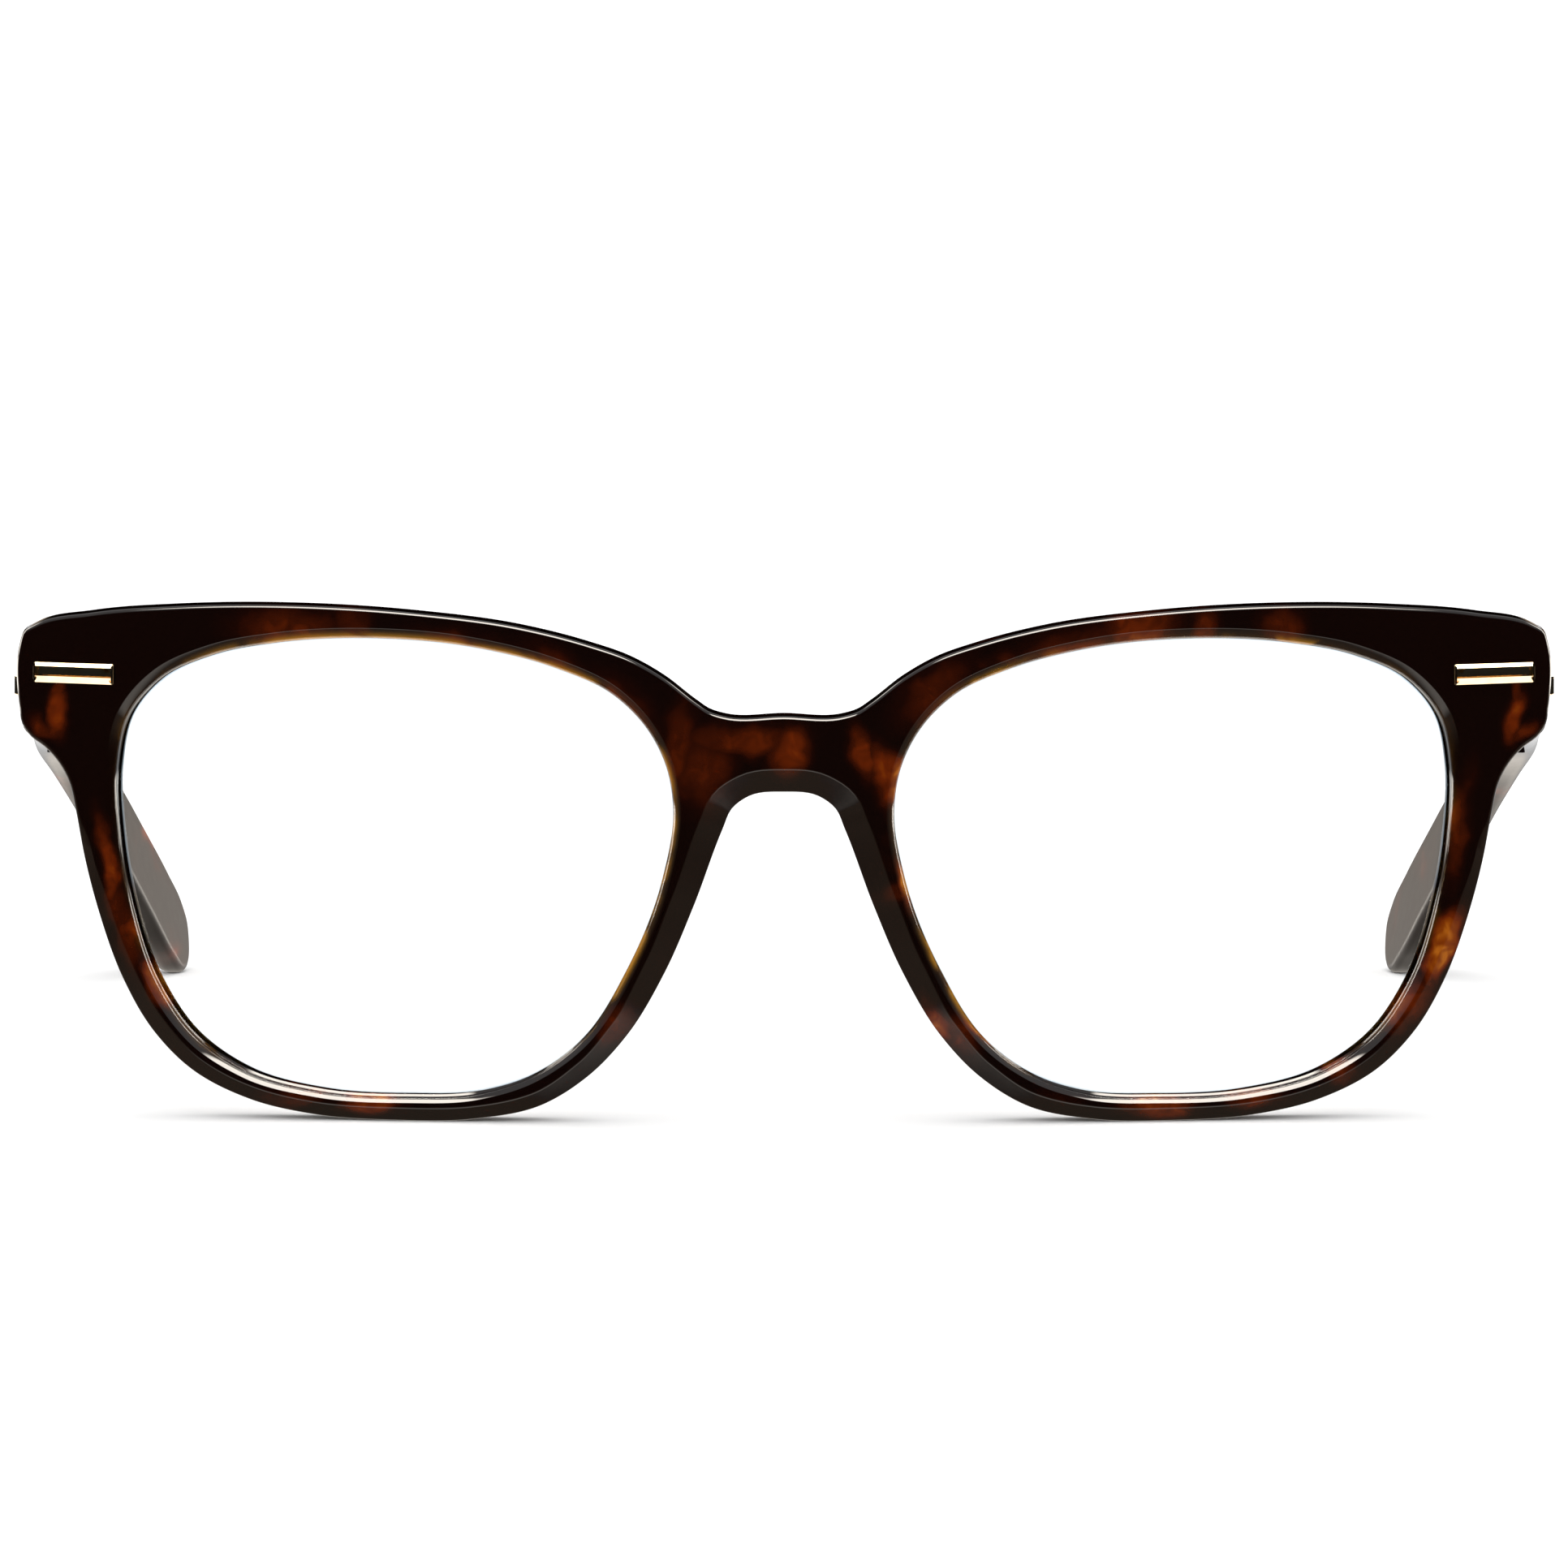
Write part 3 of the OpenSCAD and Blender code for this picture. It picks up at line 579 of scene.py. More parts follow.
def temple(side):
    line = SIDE_LINE
    inward = right_of(line, closed=False)
    s = line[:, 0]
    hook = np.clip((s - 84) / 12, 0, 1)
    r_in = INNER_FILLET + 0.25 * hook * hook * (3 - 2 * hook)
    rings = []
    for e, d in margin(fillet(OUTER_FILLET, 7)):
        p = line + inward * e
        rings.append(np.column_stack([outer_x(p) - d, p]))
    for e, d in reversed(margin(fillet(1.0, 5))):
        p = line + inward * (e * r_in)[:, None]
        rings.append(np.column_stack([inner_x(p) + d * r_in, p]))
    lift = lambda edge: (lambda p: np.column_stack([edge(p), p]))
    verts, faces = solid([rings], sz_of, lift(outer_x), lift(inner_x), 1.4)
    shell = add_mesh(f"temple_{NAMES[side]}_acetate", to_hinge(verts, side), faces)
    # The front end is cut square to the back of the endpiece, with a fine gap
    end_x, end_z, gap = 67, 40, 0.3
    wrap = math.asin(end_x / WRAP_R)
    normal = Vector((-side * math.sin(wrap), math.cos(wrap), 0))
    on = Vector(on_front([0, FRONT_T + gap, 0], end_x, end_z, side)) * MM
    bm = bmesh.new()
    bm.from_mesh(shell.data)
    bmesh.ops.bisect_plane(bm, geom=bm.verts[:] + bm.edges[:] + bm.faces[:], dist=1e-7, plane_co=on,
                           plane_no=normal, clear_inner=True)
    rim = [e for e in bm.edges if e.is_boundary]
    bmesh.ops.holes_fill(bm, edges=rim, sides=0)
    bm.to_mesh(shell.data)
    bm.free()
    cutters = [
        # Room for the hinge's knuckles
        upright_prism(circle(0, 0, 1.8, 32), -10, 10),
        # The cover's seat, the two bays under it and the gasket's groove
        flat_prism(slot_line(COVER_START, COVER_END, cover_half(COVER_START), cover_half(COVER_END), 2),
                   TEMPLE_IN - 2, COVER_IN),
        flat_prism(bay_line(0, 19, 66.5), COVER_IN - 0.2, 5),
        flat_prism(bay_line(0, 60, 81.5), COVER_IN - 0.2, 4.5),
        flat_prism(bay_line(0.7, 19, 81.5), COVER_IN - 0.2, COVER_IN + 0.4, bay_line(0.25, 19, 81.5)),
        # Underneath: the button's slot, the microphone's hole and the speaker's port
        upright_prism(pill(BUTTON_X, BUTTON_S, 8.2, 2.4), *UNDER),
        upright_prism(circle(3.5, 23, 0.4, 20), *UNDER),
        upright_prism(rounded_box(2.3, 4.1, PORT_S - 4, PORT_S + 4, 0.15, 3), *UNDER),
        # The hinge plate's recess
        flat_prism(rounded_box(1.85, 12.05, -3.45, 3.45, 0.3, 3), TEMPLE_IN - 1, TEMPLE_IN + 0.32),
    ]
    for s0 in COVER_SCREWS:
        cutters.append(flat_prism(circle(s0, 0, 0.5, 16), COVER_IN - 0.2, 4.4))
    cut(shell, [add_mesh("cutter", to_hinge(v, side), f) for v, f in cutters])
    return shade(shell, 32)


def temple_cover(side):
    line = slot_line(COVER_START, COVER_END, cover_half(COVER_START), cover_half(COVER_END), 2, 12)
    line = resample(line, 0.6, True)
    fit = 0.04
    inward = right_of(line)
    outer = []
    for e, x in ((0.14, TEMPLE_IN), (0.04, TEMPLE_IN + 0.04), (0, TEMPLE_IN + 0.14), (0, COVER_IN)):
        p = line + inward * (fit + e)
        outer.append(np.column_stack([np.full(len(p), x), p]))
    walls = [outer]
    # Holes for the screws, with their sinks, the charging contacts and the light pipe
    screws = [(s, 0, 0.65, 1.15) for s in COVER_SCREWS]
    for s, z, r, sink in screws + [(33, 0, 0.8, 0), (36, 0, 0.8, 0), (22, 2, 0.5, 0)]:
        steps = [(max(r, sink) + 0.08, TEMPLE_IN), (max(r, sink), TEMPLE_IN + 0.08)]
        steps += [(sink, TEMPLE_IN + 0.45), (r, TEMPLE_IN + 0.46)] if sink else []
        steps += [(r, COVER_IN)]
        walls.append([np.column_stack([np.full(24, x), circle(s, z, q)]) for q, x in steps])
    lift = lambda x: (lambda p: np.column_stack([np.full(len(p), x), p]))
    verts, faces = solid(walls, sz_of, lift(TEMPLE_IN), lift(COVER_IN), 2.0)
    return shade(add_mesh(f"cover_{NAMES[side]}_panel", to_hinge(verts, side), faces))


def side_bar(side):
    sink = 0.5
    verts, faces = bar_solid(proud=0.7, sink=sink, pins=(2.2, 5.5), end_facet=0.09)
    # From (across, into, up) to the temple's frame, turned to lie along its outer face
    turn = math.radians(91.3)
    across, into = verts[:, 0], verts[:, 1] - sink
    x = TEMPLE_OUT - 0.6 + across * math.cos(turn) - into * math.sin(turn)
    s = 5.6 + across * math.sin(turn) + into * math.cos(turn)
    return to_hinge(np.column_stack([x, s, verts[:, 2] - 0.4]), side), faces


# ---- Materials ----
def node(tree, kind, inputs=(), **settings):
    """A new node: its inputs, by order or by name, are sockets to link or values to set."""
    n = tree.nodes.new(kind)
    for k, v in settings.items():
        setattr(n, k, v)
    for key, value in (inputs.items() if isinstance(inputs, dict) else enumerate(inputs)):
        if value is None:
            continue
        if isinstance(value, bpy.types.NodeSocket):
            tree.links.new(value, n.inputs[key])
        else:
            n.inputs[key].default_value = value
    return n


def scaled(tree, vector, factor):
    return node(tree, "ShaderNodeVectorMath", [vector, None, None, factor], operation="SCALE").outputs[0]


def added(tree, vector, other):
    return node(tree, "ShaderNodeVectorMath", [vector, other], operation="ADD").outputs[0]


def empty_material(name, shader_kind):
    """A material with one shader at its output, and the place on the object in millimetres."""
    mat = bpy.data.materials.new(name)
    mat.use_nodes = True
    tree = mat.node_tree
    tree.nodes.clear()
    out = tree.nodes.new("ShaderNodeOutputMaterial")
    shader = tree.nodes.new(shader_kind)
    tree.links.new(shader.outputs[0], out.inputs["Surface"])
    place = scaled(tree, node(tree, "ShaderNodeTexCoord").outputs["Object"], 1 / MM)
    return mat, tree, shader, place


def new_material(name):
    return empty_material(name, "ShaderNodeBsdfPrincipled")


def set_inputs(shader, **values):
    for k, v in values.items():
        shader.inputs[k.replace("_", " ")].default_value = v


def ramp(tree, factor, stops):
    r = node(tree, "ShaderNodeValToRGB", [factor])
    r.color_ramp.elements[0].position, r.color_ramp.elements[0].color = stops[0][0], (*stops[0][1], 1)
    r.color_ramp.elements[1].position, r.color_ramp.elements[1].color = stops[-1][0], (*stops[-1][1], 1)
    for at, colour in stops[1:-1]:
        r.color_ramp.elements.new(at).color = (*colour, 1)
    return r.outputs[0]


def noise(tree, at, scale, detail=3.0, distortion=0.0):
    return node(tree, "ShaderNodeTexNoise",
                {"Vector": at, "Scale": scale, "Detail": detail, "Distortion": distortion, "Roughness": 0.5})


def span(tree, value, lo, hi, out_lo=0.0, out_hi=1.0, smooth=False):
    n = node(tree, "ShaderNodeMapRange", [value, lo, hi, out_lo, out_hi])
    n.interpolation_type = "SMOOTHSTEP" if smooth else "LINEAR"
    return n.outputs[0]


def math_node(tree, op, *values):
    return node(tree, "ShaderNodeMath", values, operation=op).outputs[0]


TORTOISE = [(0.0, (0.0036, 0.0010, 0.0006)), (0.2, (0.008, 0.0014, 0.0005)), (0.45, (0.032, 0.0042, 0.0006)),
            (0.68, (0.092, 0.0115, 0.0010)), (0.86, (0.17, 0.032, 0.0015)), (1.0, (0.31, 0.085, 0.006))]
# Amber patches of the front: across, height, half width, half height, lean in degrees, strength, softness
PATCHES = [
    (-67.4, 39.2, 0.5, 2.4, 6, 0.5, 0.6), (-67.1, 37.2, 0.95, 2.3, -6, 0.68, 0.55),
    (-68.4, 35.8, 1.8, 0.7, 24, 0.5, 0.7), (67.7, 39.2, 0.5, 2.4, -6, 0.5, 0.6),
    (67.6, 37.2, 1.0, 2.3, 6, 0.7, 0.55), (68.6, 35.8, 1.4, 0.7, -24, 0.5, 0.7),
    (-45.5, 45.8, 4.5, 1.8, 0, 0.52, 0.8), (-39.8, 45.6, 1.6, 2.2, 0, 0.40, 0.8),
    (-27.5, 43.4, 5.5, 1.4, 14, 0.44, 0.8), (27.0, 43.6, 4.5, 2.2, -12, 0.48, 0.8),
    (32.6, 45.6, 3.0, 2.4, 0, 0.6, 0.7), (38.5, 45.6, 1.6, 2.2, 0, 0.48, 0.7),
    (46, 45.6, 1.8, 2.0, 0, 0.48, 0.7), (-21.0, 41.8, 3.2, 1.4, 28, 0.46, 0.8),
    (-15.0, 38.4, 3.6, 1.8, 42, 0.44, 0.8), (-9.8, 34.6, 1.6, 4.4, 10, 0.46, 0.7),
    (-3.6, 35.6, 5.0, 1.5, 0, 0.54, 0.6), (0.7, 34.6, 1.8, 2.2, 0, 0.66, 0.6),
    (-7.4, 32.4, 2.6, 3.0, 20, 0.46, 0.7), (7.2, 34.2, 1.0, 2.8, -14, 0.62, 0.6),
    (9.6, 32.0, 1.5, 3.4, -24, 0.68, 0.6), (13.8, 40.0, 3.6, 2.0, -40, 0.45, 0.8),
    (11.2, 22.4, 0.7, 2.2, -14, 0.78, 0.6), (-62.6, 23.4, 0.8, 4.4, -10, 0.66, 0.6),
    (-61.2, 17.8, 1.1, 4.4, -16, 0.5, 0.7), (-57.8, 12.4, 1.1, 2.4, -30, 0.66, 0.6),
    (-38.4, 1.6, 2.8, 1.2, 0, 0.68, 0.6), (-45, 2.4, 3.6, 1.0, -10, 0.42, 0.8),
    (34.6, 1.4, 3.4, 1.3, 0, 0.72, 0.6), (43.0, 2.2, 3.0, 1.1, 8, 0.58, 0.7),
    (60.8, 15.4, 1.2, 3.8, 22, 0.92, 0.6), (57.8, 10.2, 1.4, 2.8, 34, 0.58, 0.7),
    (50.6, 5.2, 2.4, 1.3, 30, 0.6, 0.7), (-15.4, 8.8, 1.1, 2.4, 40, 0.5, 0.7),
    (16.0, 8.0, 1.2, 2.4, -40, 0.52, 0.7), (-30.5, 44.6, 2.6, 1.0, 8, 0.45, 0.7),
    (62.6, 27.0, 0.9, 5.0, 10, 0.42, 0.7),
]
# A painted glow: the gold that stands in for light coming through the thin edges of the lens openings
PAINTED_EDGE_GLOW = (0.42, 0.185, 0.012)


def tortoise(name, patches, spread, seed, worn=0.0):
    """Acetate: deep brown-black with soft amber clouds, and painted light (a lighter amber and a gold glow)
    where the edge of a lens opening is thin.
    """
    mat, tree, shader, mm = new_material(name)
    moved = added(tree, mm, (seed, seed * 0.7, -seed))
    warp = noise(tree, moved, 0.22, 2.0).outputs["Color"]
    bent = added(tree, mm, scaled(tree, added(tree, warp, (-0.5, -0.5, -0.5)), 3.0))
    cloud = noise(tree, moved, 0.085, 3.0, 0.7)
    total = span(tree, cloud.outputs[0], 0.60 - spread, 0.80 - spread * 0.6, 0.0, 0.85, True)
    for x, z, rx, rz, lean, gain, soft in patches:
        local = node(tree, "ShaderNodeMapping", {"Vector": bent}, vector_type="TEXTURE")
        local.inputs["Location"].default_value = (x, -MID_Y + 3, z)
        local.inputs["Rotation"].default_value = (0, math.radians(lean), 0)
        # Far deeper than the front, so that a patch shows on its face and its edges alike
        local.inputs["Scale"].default_value = (rx, 40, rz)
        far = node(tree, "ShaderNodeVectorMath", [local.outputs[0]], operation="LENGTH").outputs["Value"]
        total = math_node(tree, "MAXIMUM", total, span(tree, far, 1 + soft, 1 - soft, 0.0, gain, True))
    fine = noise(tree, moved, 0.55, 2.0, 0.6)
    total = math_node(tree, "MULTIPLY", total, span(tree, fine.outputs[0], 0.3, 0.65, 0.78, 1.1))
    # Painted light: where the edges of the openings are thin, a gold glow and a lighter amber are painted in,
    # as if light got through them; least at the bottom
    edge = node(tree, "ShaderNodeAttribute", attribute_name="near_eye").outputs["Fac"]
    grain = noise(tree, moved, 0.13, 2.0, 0.8)
    place = node(tree, "ShaderNodeSeparateXYZ", [mm])
    inner = span(tree, math_node(tree, "ABSOLUTE", place.outputs["X"]), 58.0, 46.0, 0.1, 1.0, True)
    clear = math_node(tree, "MULTIPLY", span(tree, grain.outputs[0], 0.45, 0.62, 0.08, 1.0, True), inner)
    clear = math_node(tree, "MULTIPLY", clear, span(tree, place.outputs["Z"], 4, 14))
    through = math_node(tree, "MULTIPLY", math_node(tree, "POWER", edge, 3.0), clear)
    total = math_node(tree, "MULTIPLY_ADD", math_node(tree, "MULTIPLY", edge, total), 0.5, total)
    painted_glow = node(tree, "ShaderNodeMix", data_type="RGBA")
    tree.links.new(through, painted_glow.inputs[0])
    tree.links.new(ramp(tree, total, TORTOISE), painted_glow.inputs[6])
    painted_glow.inputs[7].default_value = (*PAINTED_EDGE_GLOW, 1)
    tree.links.new(painted_glow.outputs[2], shader.inputs["Base Color"])
    # Polished in front, and duller towards the temples' tips where they are worn
    haze = noise(tree, mm, 0.5, 3.0)
    polish = span(tree, haze.outputs[0], 0.3, 0.7, 0.03, 0.06)
    polish = math_node(tree, "ADD", polish, span(tree, place.outputs["Y"], 5.0, 50.0, 0.0, worn, True))
    tree.links.new(polish, shader.inputs["Roughness"])
    ripple = noise(tree, mm, 0.35, 2.0)
    bump = node(tree, "ShaderNodeBump", {"Strength": 0.04, "Distance": 0.0002, "Height": ripple.outputs[0]})
    tree.links.new(bump.outputs[0], shader.inputs["Normal"])
    set_inputs(shader, IOR=1.46)
    return mat


def finish_material(name, dark, light, scale, rough, metallic, bump, bump_scale):
    """A plastic, rubber, film or metal: cloudy tone and roughness, with a fine bump."""
    mat, tree, shader, mm = new_material(name)
    tone = noise(tree, mm, scale, 4.0)
    tree.links.new(ramp(tree, tone.outputs[0], [(0.3, dark), (0.7, light)]), shader.inputs["Base Color"])
    wear = noise(tree, mm, scale * 2.3, 5.0)
    tree.links.new(span(tree, wear.outputs[0], 0.3, 0.7, *rough), shader.inputs["Roughness"])
    grain = noise(tree, mm, bump_scale)
    b = node(tree, "ShaderNodeBump", {"Strength": bump, "Distance": 0.0001, "Height": grain.outputs[0]})
    tree.links.new(b.outputs[0], shader.inputs["Normal"])
    set_inputs(shader, Metallic=metallic, IOR=1.5)
    return mat


def clear_material(name, tint, gloss_share, rough=0.02):
    """Clear plastic: mostly see-through, with its gloss kept at the edges and a painted bluish-grey
    reflection close to the edge of the lens.
    """
    mat, tree, mix, mm = empty_material(name, "ShaderNodeMixShader")
    smear = noise(tree, mm, 0.05, 2.0)
    edge = node(tree, "ShaderNodeAttribute", attribute_name="near_eye").outputs["Fac"]
    # Painted reflection: the see-through colour turns bluish grey close to the lens's edge
    colour = ramp(tree, edge, [(0.0, tint), (0.55, (0.93, 0.95, 0.96)), (1.0, (0.50, 0.60, 0.68))])
    see = node(tree, "ShaderNodeBsdfTransparent", [colour])
    gloss = node(tree, "ShaderNodeBsdfGlossy", {"Color": (1, 1, 1, 1)})
    tree.links.new(span(tree, smear.outputs[0], 0.3, 0.7, rough, rough * 2.5), gloss.inputs["Roughness"])
    rim = node(tree, "ShaderNodeFresnel", {"IOR": 1.45})
    part = math_node(tree, "MULTIPLY", rim.outputs[0], gloss_share)
    for socket, value in zip(mix.inputs, (part, see.outputs[0], gloss.outputs[0])):
        tree.links.new(value, socket)
    return mat


def paint(obj, mat):
    obj.data.materials.clear()
    obj.data.materials.append(mat)
    return obj


# Tone from dark to light and its scale, roughness from and to, metallic, bump and its scale
FINISHES = {
    "pad_acetate": ((0.05, 0.02, 0.008), (0.12, 0.05, 0.02), 0.4, (0.12, 0.22), 0.0, 0.03, 4.0),
    "polished_gold": ((0.88, 0.70, 0.44), (0.97, 0.82, 0.58), 0.8, (0.04, 0.09), 1.0, 0.02, 9.0),
    "hinge_gold": ((0.66, 0.50, 0.27), (0.74, 0.57, 0.32), 0.8, (0.22, 0.28), 1.0, 0.01, 6.0),
    "screw_steel": ((0.42, 0.42, 0.43), (0.62, 0.62, 0.62), 1.6, (0.22, 0.36), 1.0, 0.08, 9.0),
    "cover_plastic": ((0.012, 0.010, 0.009), (0.022, 0.019, 0.017), 0.6, (0.38, 0.5), 0.0, 0.22, 6.0),
    "gasket_rubber": ((0.012, 0.012, 0.013), (0.03, 0.03, 0.03), 1.5, (0.6, 0.8), 0.0, 0.2, 4.0),
    "battery_foil": ((0.50, 0.51, 0.52), (0.72, 0.73, 0.74), 0.25, (0.28, 0.45), 0.9, 0.3, 0.7),
    "board_mask": ((0.004, 0.06, 0.03), (0.012, 0.14, 0.07), 1.1, (0.3, 0.5), 0.0, 0.35, 2.2),
    "chip_epoxy": ((0.012, 0.012, 0.012), (0.05, 0.05, 0.05), 2.0, (0.45, 0.65), 0.0, 0.25, 12.0),
    "speaker_body": ((0.02, 0.02, 0.022), (0.06, 0.06, 0.065), 0.9, (0.4, 0.55), 0.0, 0.2, 8.0),
    "mesh_metal": ((0.35, 0.34, 0.33), (0.55, 0.54, 0.52), 1.8, (0.3, 0.45), 1.0, 0.15, 9.0),
    "mic_can": ((0.60, 0.58, 0.52), (0.78, 0.76, 0.70), 1.2, (0.2, 0.34), 1.0, 0.08, 5.0),
    "contact_gold": ((0.75, 0.52, 0.20), (0.92, 0.70, 0.36), 1.4, (0.16, 0.28), 1.0, 0.05, 6.0),
    "magnet_nickel": ((0.50, 0.49, 0.47), (0.68, 0.67, 0.65), 1.3, (0.16, 0.3), 1.0, 0.06, 6.0),
    "antenna_copper": ((0.50, 0.20, 0.10), (0.75, 0.36, 0.20), 1.0, (0.3, 0.45), 1.0, 0.1, 5.0),
    "amber_film": ((0.30, 0.12, 0.02), (0.48, 0.22, 0.05), 0.5, (0.2, 0.35), 0.0, 0.1, 4.0),
    "light_pipe": ((0.70, 0.74, 0.75), (0.85, 0.88, 0.88), 0.8, (0.1, 0.2), 0.0, 0.03, 4.0),
    "switch_metal": ((0.45, 0.44, 0.42), (0.65, 0.64, 0.62), 1.5, (0.25, 0.4), 1.0, 0.1, 6.0),
    "button_plastic": ((0.010, 0.008, 0.007), (0.02, 0.016, 0.014), 0.8, (0.25, 0.38), 0.0, 0.12, 6.0),
    "core_steel": ((0.40, 0.38, 0.35), (0.60, 0.58, 0.54), 1.0, (0.25, 0.4), 1.0, 0.1, 5.0),
}
LOOKS = {name: finish_material(name, *values) for name, values in FINISHES.items()}
LOOKS["front"] = tortoise("tortoise_front", PATCHES, 0.0, 3.0)
LOOKS["temple"] = tortoise("tortoise_temple", [], 0.08, 37.0, 0.40)
LOOKS["lens"] = clear_material("clear_lens", (1.0, 1.0, 0.998), 0.4)

# ---- Rebuilt pieces ----
paint(front, LOOKS["front"])
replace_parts(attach(front, "front"), "front_frame")
for side in (1, -1):
    n = NAMES[side]
    lens = paint(make_lens(side), LOOKS["lens"])
    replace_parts(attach(lens, "front"), f"lens_{n}")
    pad = paint(nose_pad(side), LOOKS["pad_acetate"])
    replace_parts(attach(pad, "front"), f"nose_pad_{n}")
    verts, faces = bar_solid(proud=0.45, sink=0.4, pins=(2.4, 3.9), low_facet=0.5)
    placed = on_front(verts, PLAQUE_X, PLAQUE_Z, side, BAR_TILT)
    plaque = shade(add_mesh(f"plaque_{n}_bar", placed, faces), BAR_SHARP)
    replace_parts(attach(paint(plaque, LOOKS["polished_gold"]), "front"), f"front_plaque_{n}")
    shell = paint(temple(side), LOOKS["temple"])
    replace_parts(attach(shell, f"temple_{n}"), f"temple_shell_{n}")
    cover = paint(temple_cover(side), LOOKS["cover_plastic"])
    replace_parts(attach(cover, f"temple_{n}"), f"temple_cover_{n}")
    placed, faces = side_bar(side)
    bar = shade(add_mesh(f"side_bar_{n}", placed, faces), BAR_SHARP)
    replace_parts(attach(paint(bar, LOOKS["polished_gold"]), f"temple_{n}"), f"temple_plaque_{n}")

# ---- CAD nodes that stay: their finish, and the width of their broken edges ----
KEPT = {
    "front_hinge": ("hinge_gold", 0.08), "temple_hinge": ("hinge_gold", 0.08),
    "hinge_screw": ("screw_steel", 0.05), "cover_screws": ("screw_steel", 0.04),
    "cover_gasket": ("gasket_rubber", 0.05), "core_wire": ("core_steel", 0),
    "battery": ("battery_foil", 0.2), "circuit_board": ("board_mask", 0.03),
    "board_components": ("chip_epoxy", 0.05), "speaker": ("speaker_body", 0.08),
    "speaker_mesh": ("mesh_metal", 0), "microphone": ("mic_can", 0.06),
    "charging_contacts": ("contact_gold", 0.06), "dock_magnets": ("magnet_nickel", 0.06),
    "antenna": ("antenna_copper", 0.02), "touch_pad": ("amber_film", 0.02),
    "flex_cable": ("amber_film", 0), "light_pipe": ("light_pipe", 0.04),
    "button_switch": ("switch_metal", 0.04), "button": ("button_plastic", 0.18),
}
for kind, (look, edge) in KEPT.items():
    for n in NAMES.values():
        obj = nodes[f"{kind}_{n}"]
        obj.data.materials.clear()
        obj.data.materials.append(LOOKS[look])
        weld = obj.modifiers.new("weld", "WELD")
        weld.merge_threshold = 2e-6
        if edge:
            bevel = obj.modifiers.new("edge", "BEVEL")
            bevel.width, bevel.segments, bevel.limit_method = edge * MM, 2, "ANGLE"
            bevel.angle_limit = math.radians(40)
            bevel.use_clamp_overlap = True

# ---- Floor, light and camera ----
FLOOR_CORNERS = [(-12, -12, 0), (12, -12, 0), (12, 30, 0), (-12, 30, 0)]
floor_mesh = bpy.data.meshes.new("floor")
floor_mesh.from_pydata(FLOOR_CORNERS, [], [(0, 1, 2, 3)])
floor = bpy.data.objects.new("floor", floor_mesh)
bpy.context.scene.collection.objects.link(floor)
floor.visible_glossy = False
mat, tree, shader, mm = new_material("pale_floor")
tone = noise(tree, mm, 0.004, 2.0)
pale = ramp(tree, tone.outputs[0], [(0.3, (0.90, 0.90, 0.90)), (0.7, (0.92, 0.92, 0.92))])
tree.links.new(pale, shader.inputs["Base Color"])
set_inputs(shader, Roughness=0.9, Specular_IOR_Level=0.0)
floor.data.materials.append(mat)

# The surroundings are burnt out to white, but polished faces mirror a studio with panels
SURROUND, SEEN = 1.3, 1.0
world = bpy.data.worlds.new("studio")
bpy.context.scene.world = world
world.use_nodes = True
tree = world.node_tree
tree.nodes.clear()
out = tree.nodes.new("ShaderNodeOutputWorld")
where = node(tree, "ShaderNodeTexCoord").outputs["Generated"]
xyz = node(tree, "ShaderNodeSeparateXYZ", [where])
x, y, z = (xyz.outputs[k] for k in "XYZ")
side_x = math_node(tree, "ABSOLUTE", x)


def ramps(*limits):
    """Product of smooth steps: (value, where it is 0, where it is 1)."""
    total = 1.0
    for value, off, on in limits:
        total = math_node(tree, "MULTIPLY", total, span(tree, value, off, on, 0.0, 1.0, True))
    return total


def towards(direction):
    """The cosine of the angle between the way a ray goes and a direction."""
    return node(tree, "ShaderNodeVectorMath", [where, direction], operation="DOT_PRODUCT").outputs["Value"]


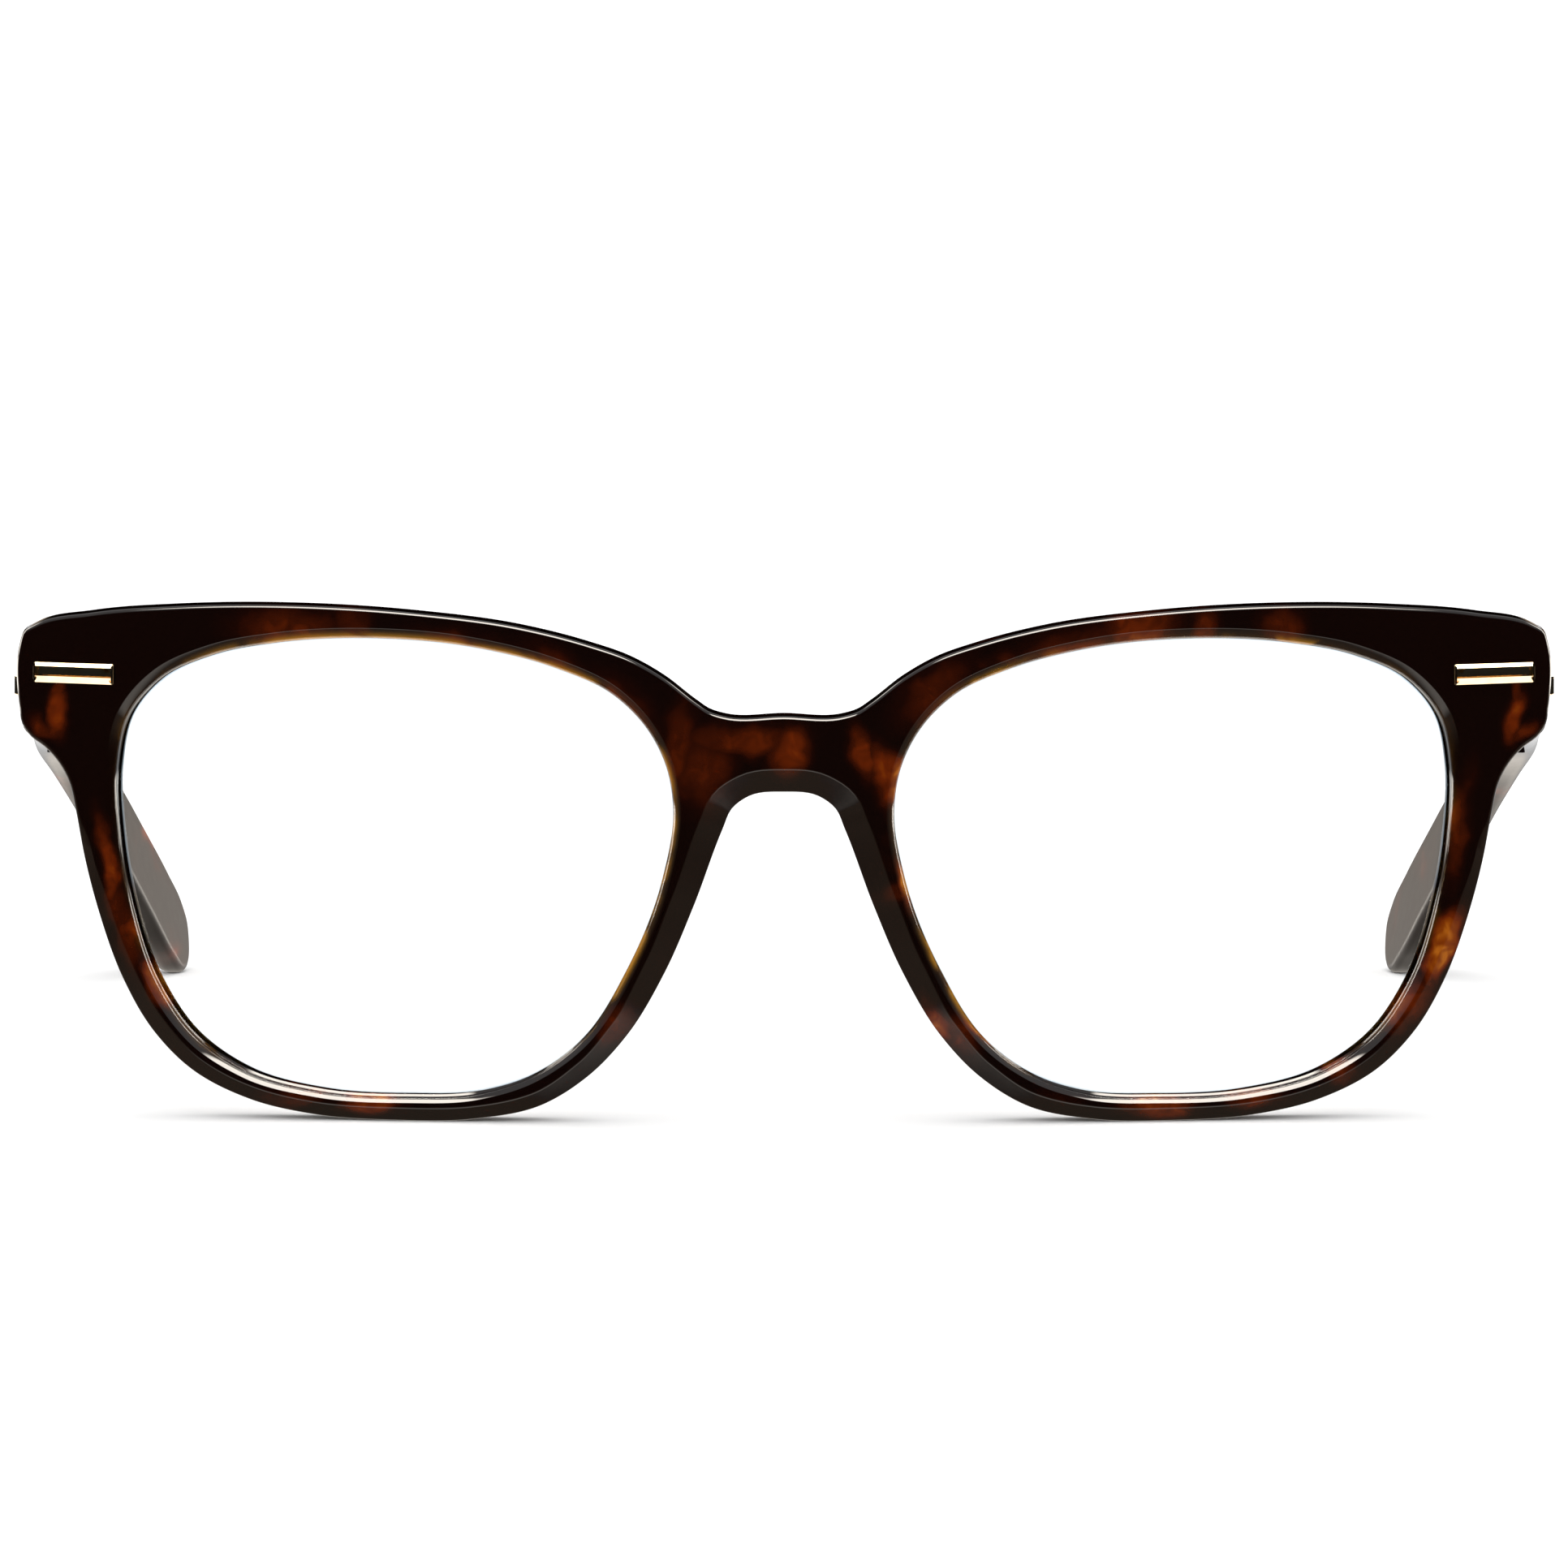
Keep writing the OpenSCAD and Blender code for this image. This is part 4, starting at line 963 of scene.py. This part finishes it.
# What polished faces mirror: (part of the surroundings, brightness, colour)
WHITE, WARM, CREAM = (1, 1, 1), (1, 0.80, 0.60), (1, 0.93, 0.84)
MIRRORED = [
    # The upper half, and a bright panel high in front
    (ramps((z, 0.25, 0.7)), 1.0, WHITE),
    (ramps((towards((0.0, -0.45, 0.893)), 0.92, 0.95)), 26.0, CREAM),
    # Bright strips at the sides behind, one at the table's height and one above it
    (ramps((side_x, 0.6, 0.72), (y, 0.06, 0.14), (z, -0.16, -0.12), (z, 0.05, -0.02)), 12.0, CREAM),
    (ramps((side_x, 0.5, 0.6), (y, 0.06, 0.14), (y, 0.6, 0.5), (z, 0.0, 0.06), (z, 0.85, 0.7)), 12.0, CREAM),
    # The sides and back of the room
    (ramps((y, -0.35, 0.2), (z, 0.5, 0.2), (z, -0.6, -0.2)), 0.5, WARM),
    # The table: behind, behind and below, all of it, and in front
    (ramps((y, 0.1, 0.5), (z, 0.0, -0.05)), 0.8, WHITE),
    (ramps((y, 0.08, 0.3), (z, -0.2, -0.45)), 2.0, CREAM),
    (ramps((z, -0.16, -0.5)), 0.32, WARM),
    (ramps((y, -0.2, -0.45), (z, -0.5, -0.65)), 2.0, CREAM),
]
# Straight behind, above the table, the studio is dark
dark = ramps((side_x, 0.42, 0.3), (z, -0.03, 0.02), (z, 0.6, 0.4))
mirror = (0.012, 0.012, 0.012)
for part, strength, colour in MIRRORED:
    shone = scaled(tree, tuple(strength * c for c in colour), part)
    mirror = node(tree, "ShaderNodeVectorMath", [mirror, shone], operation="MAXIMUM").outputs[0]
mirror = scaled(tree, mirror, span(tree, dark, 0.0, 1.0, 1.0, 0.0))
rays = node(tree, "ShaderNodeLightPath").outputs
plain = span(tree, rays["Is Camera Ray"], 0.0, 1.0, SURROUND, SEEN)
tint = node(tree, "ShaderNodeMix", data_type="RGBA")
tree.links.new(rays["Is Glossy Ray"], tint.inputs[0])
tree.links.new(plain, tint.inputs[6])
tree.links.new(mirror, tint.inputs[7])
back = node(tree, "ShaderNodeBackground", {"Color": tint.outputs[2], "Strength": 1.0})
tree.links.new(back.outputs[0], out.inputs["Surface"])

key = bpy.data.lights.new("soft_top", "AREA")
key.shape, key.size, key.size_y, key.energy = "RECTANGLE", 1.4, 1.0, 3.0
key_obj = bpy.data.objects.new("soft_top", key)
key_obj.location = (0, 0.1, 1.3)
key_obj.visible_glossy = False
bpy.context.scene.collection.objects.link(key_obj)

# The camera: how far, how high and how much to the side, and how it is turned down and sideways
CAM_FAR, CAM_UP, CAM_ACROSS = 1.0, 0.1178, 0.0025
CAM_DOWN, CAM_TURN = 4.934, 0.00247
camera = bpy.data.cameras.new("camera")
camera.lens, camera.sensor_width = 250.77, 36
camera.clip_start, camera.clip_end = 0.05, 100
cam = bpy.data.objects.new("camera", camera)
cam.location = (CAM_ACROSS, -CAM_FAR - MID_Y * MM, CAM_UP)
cam.rotation_euler = (math.radians(90 - CAM_DOWN), 0, CAM_TURN)
bpy.context.scene.collection.objects.link(cam)
bpy.context.scene.camera = cam
bpy.context.scene.view_settings.view_transform = "Standard"
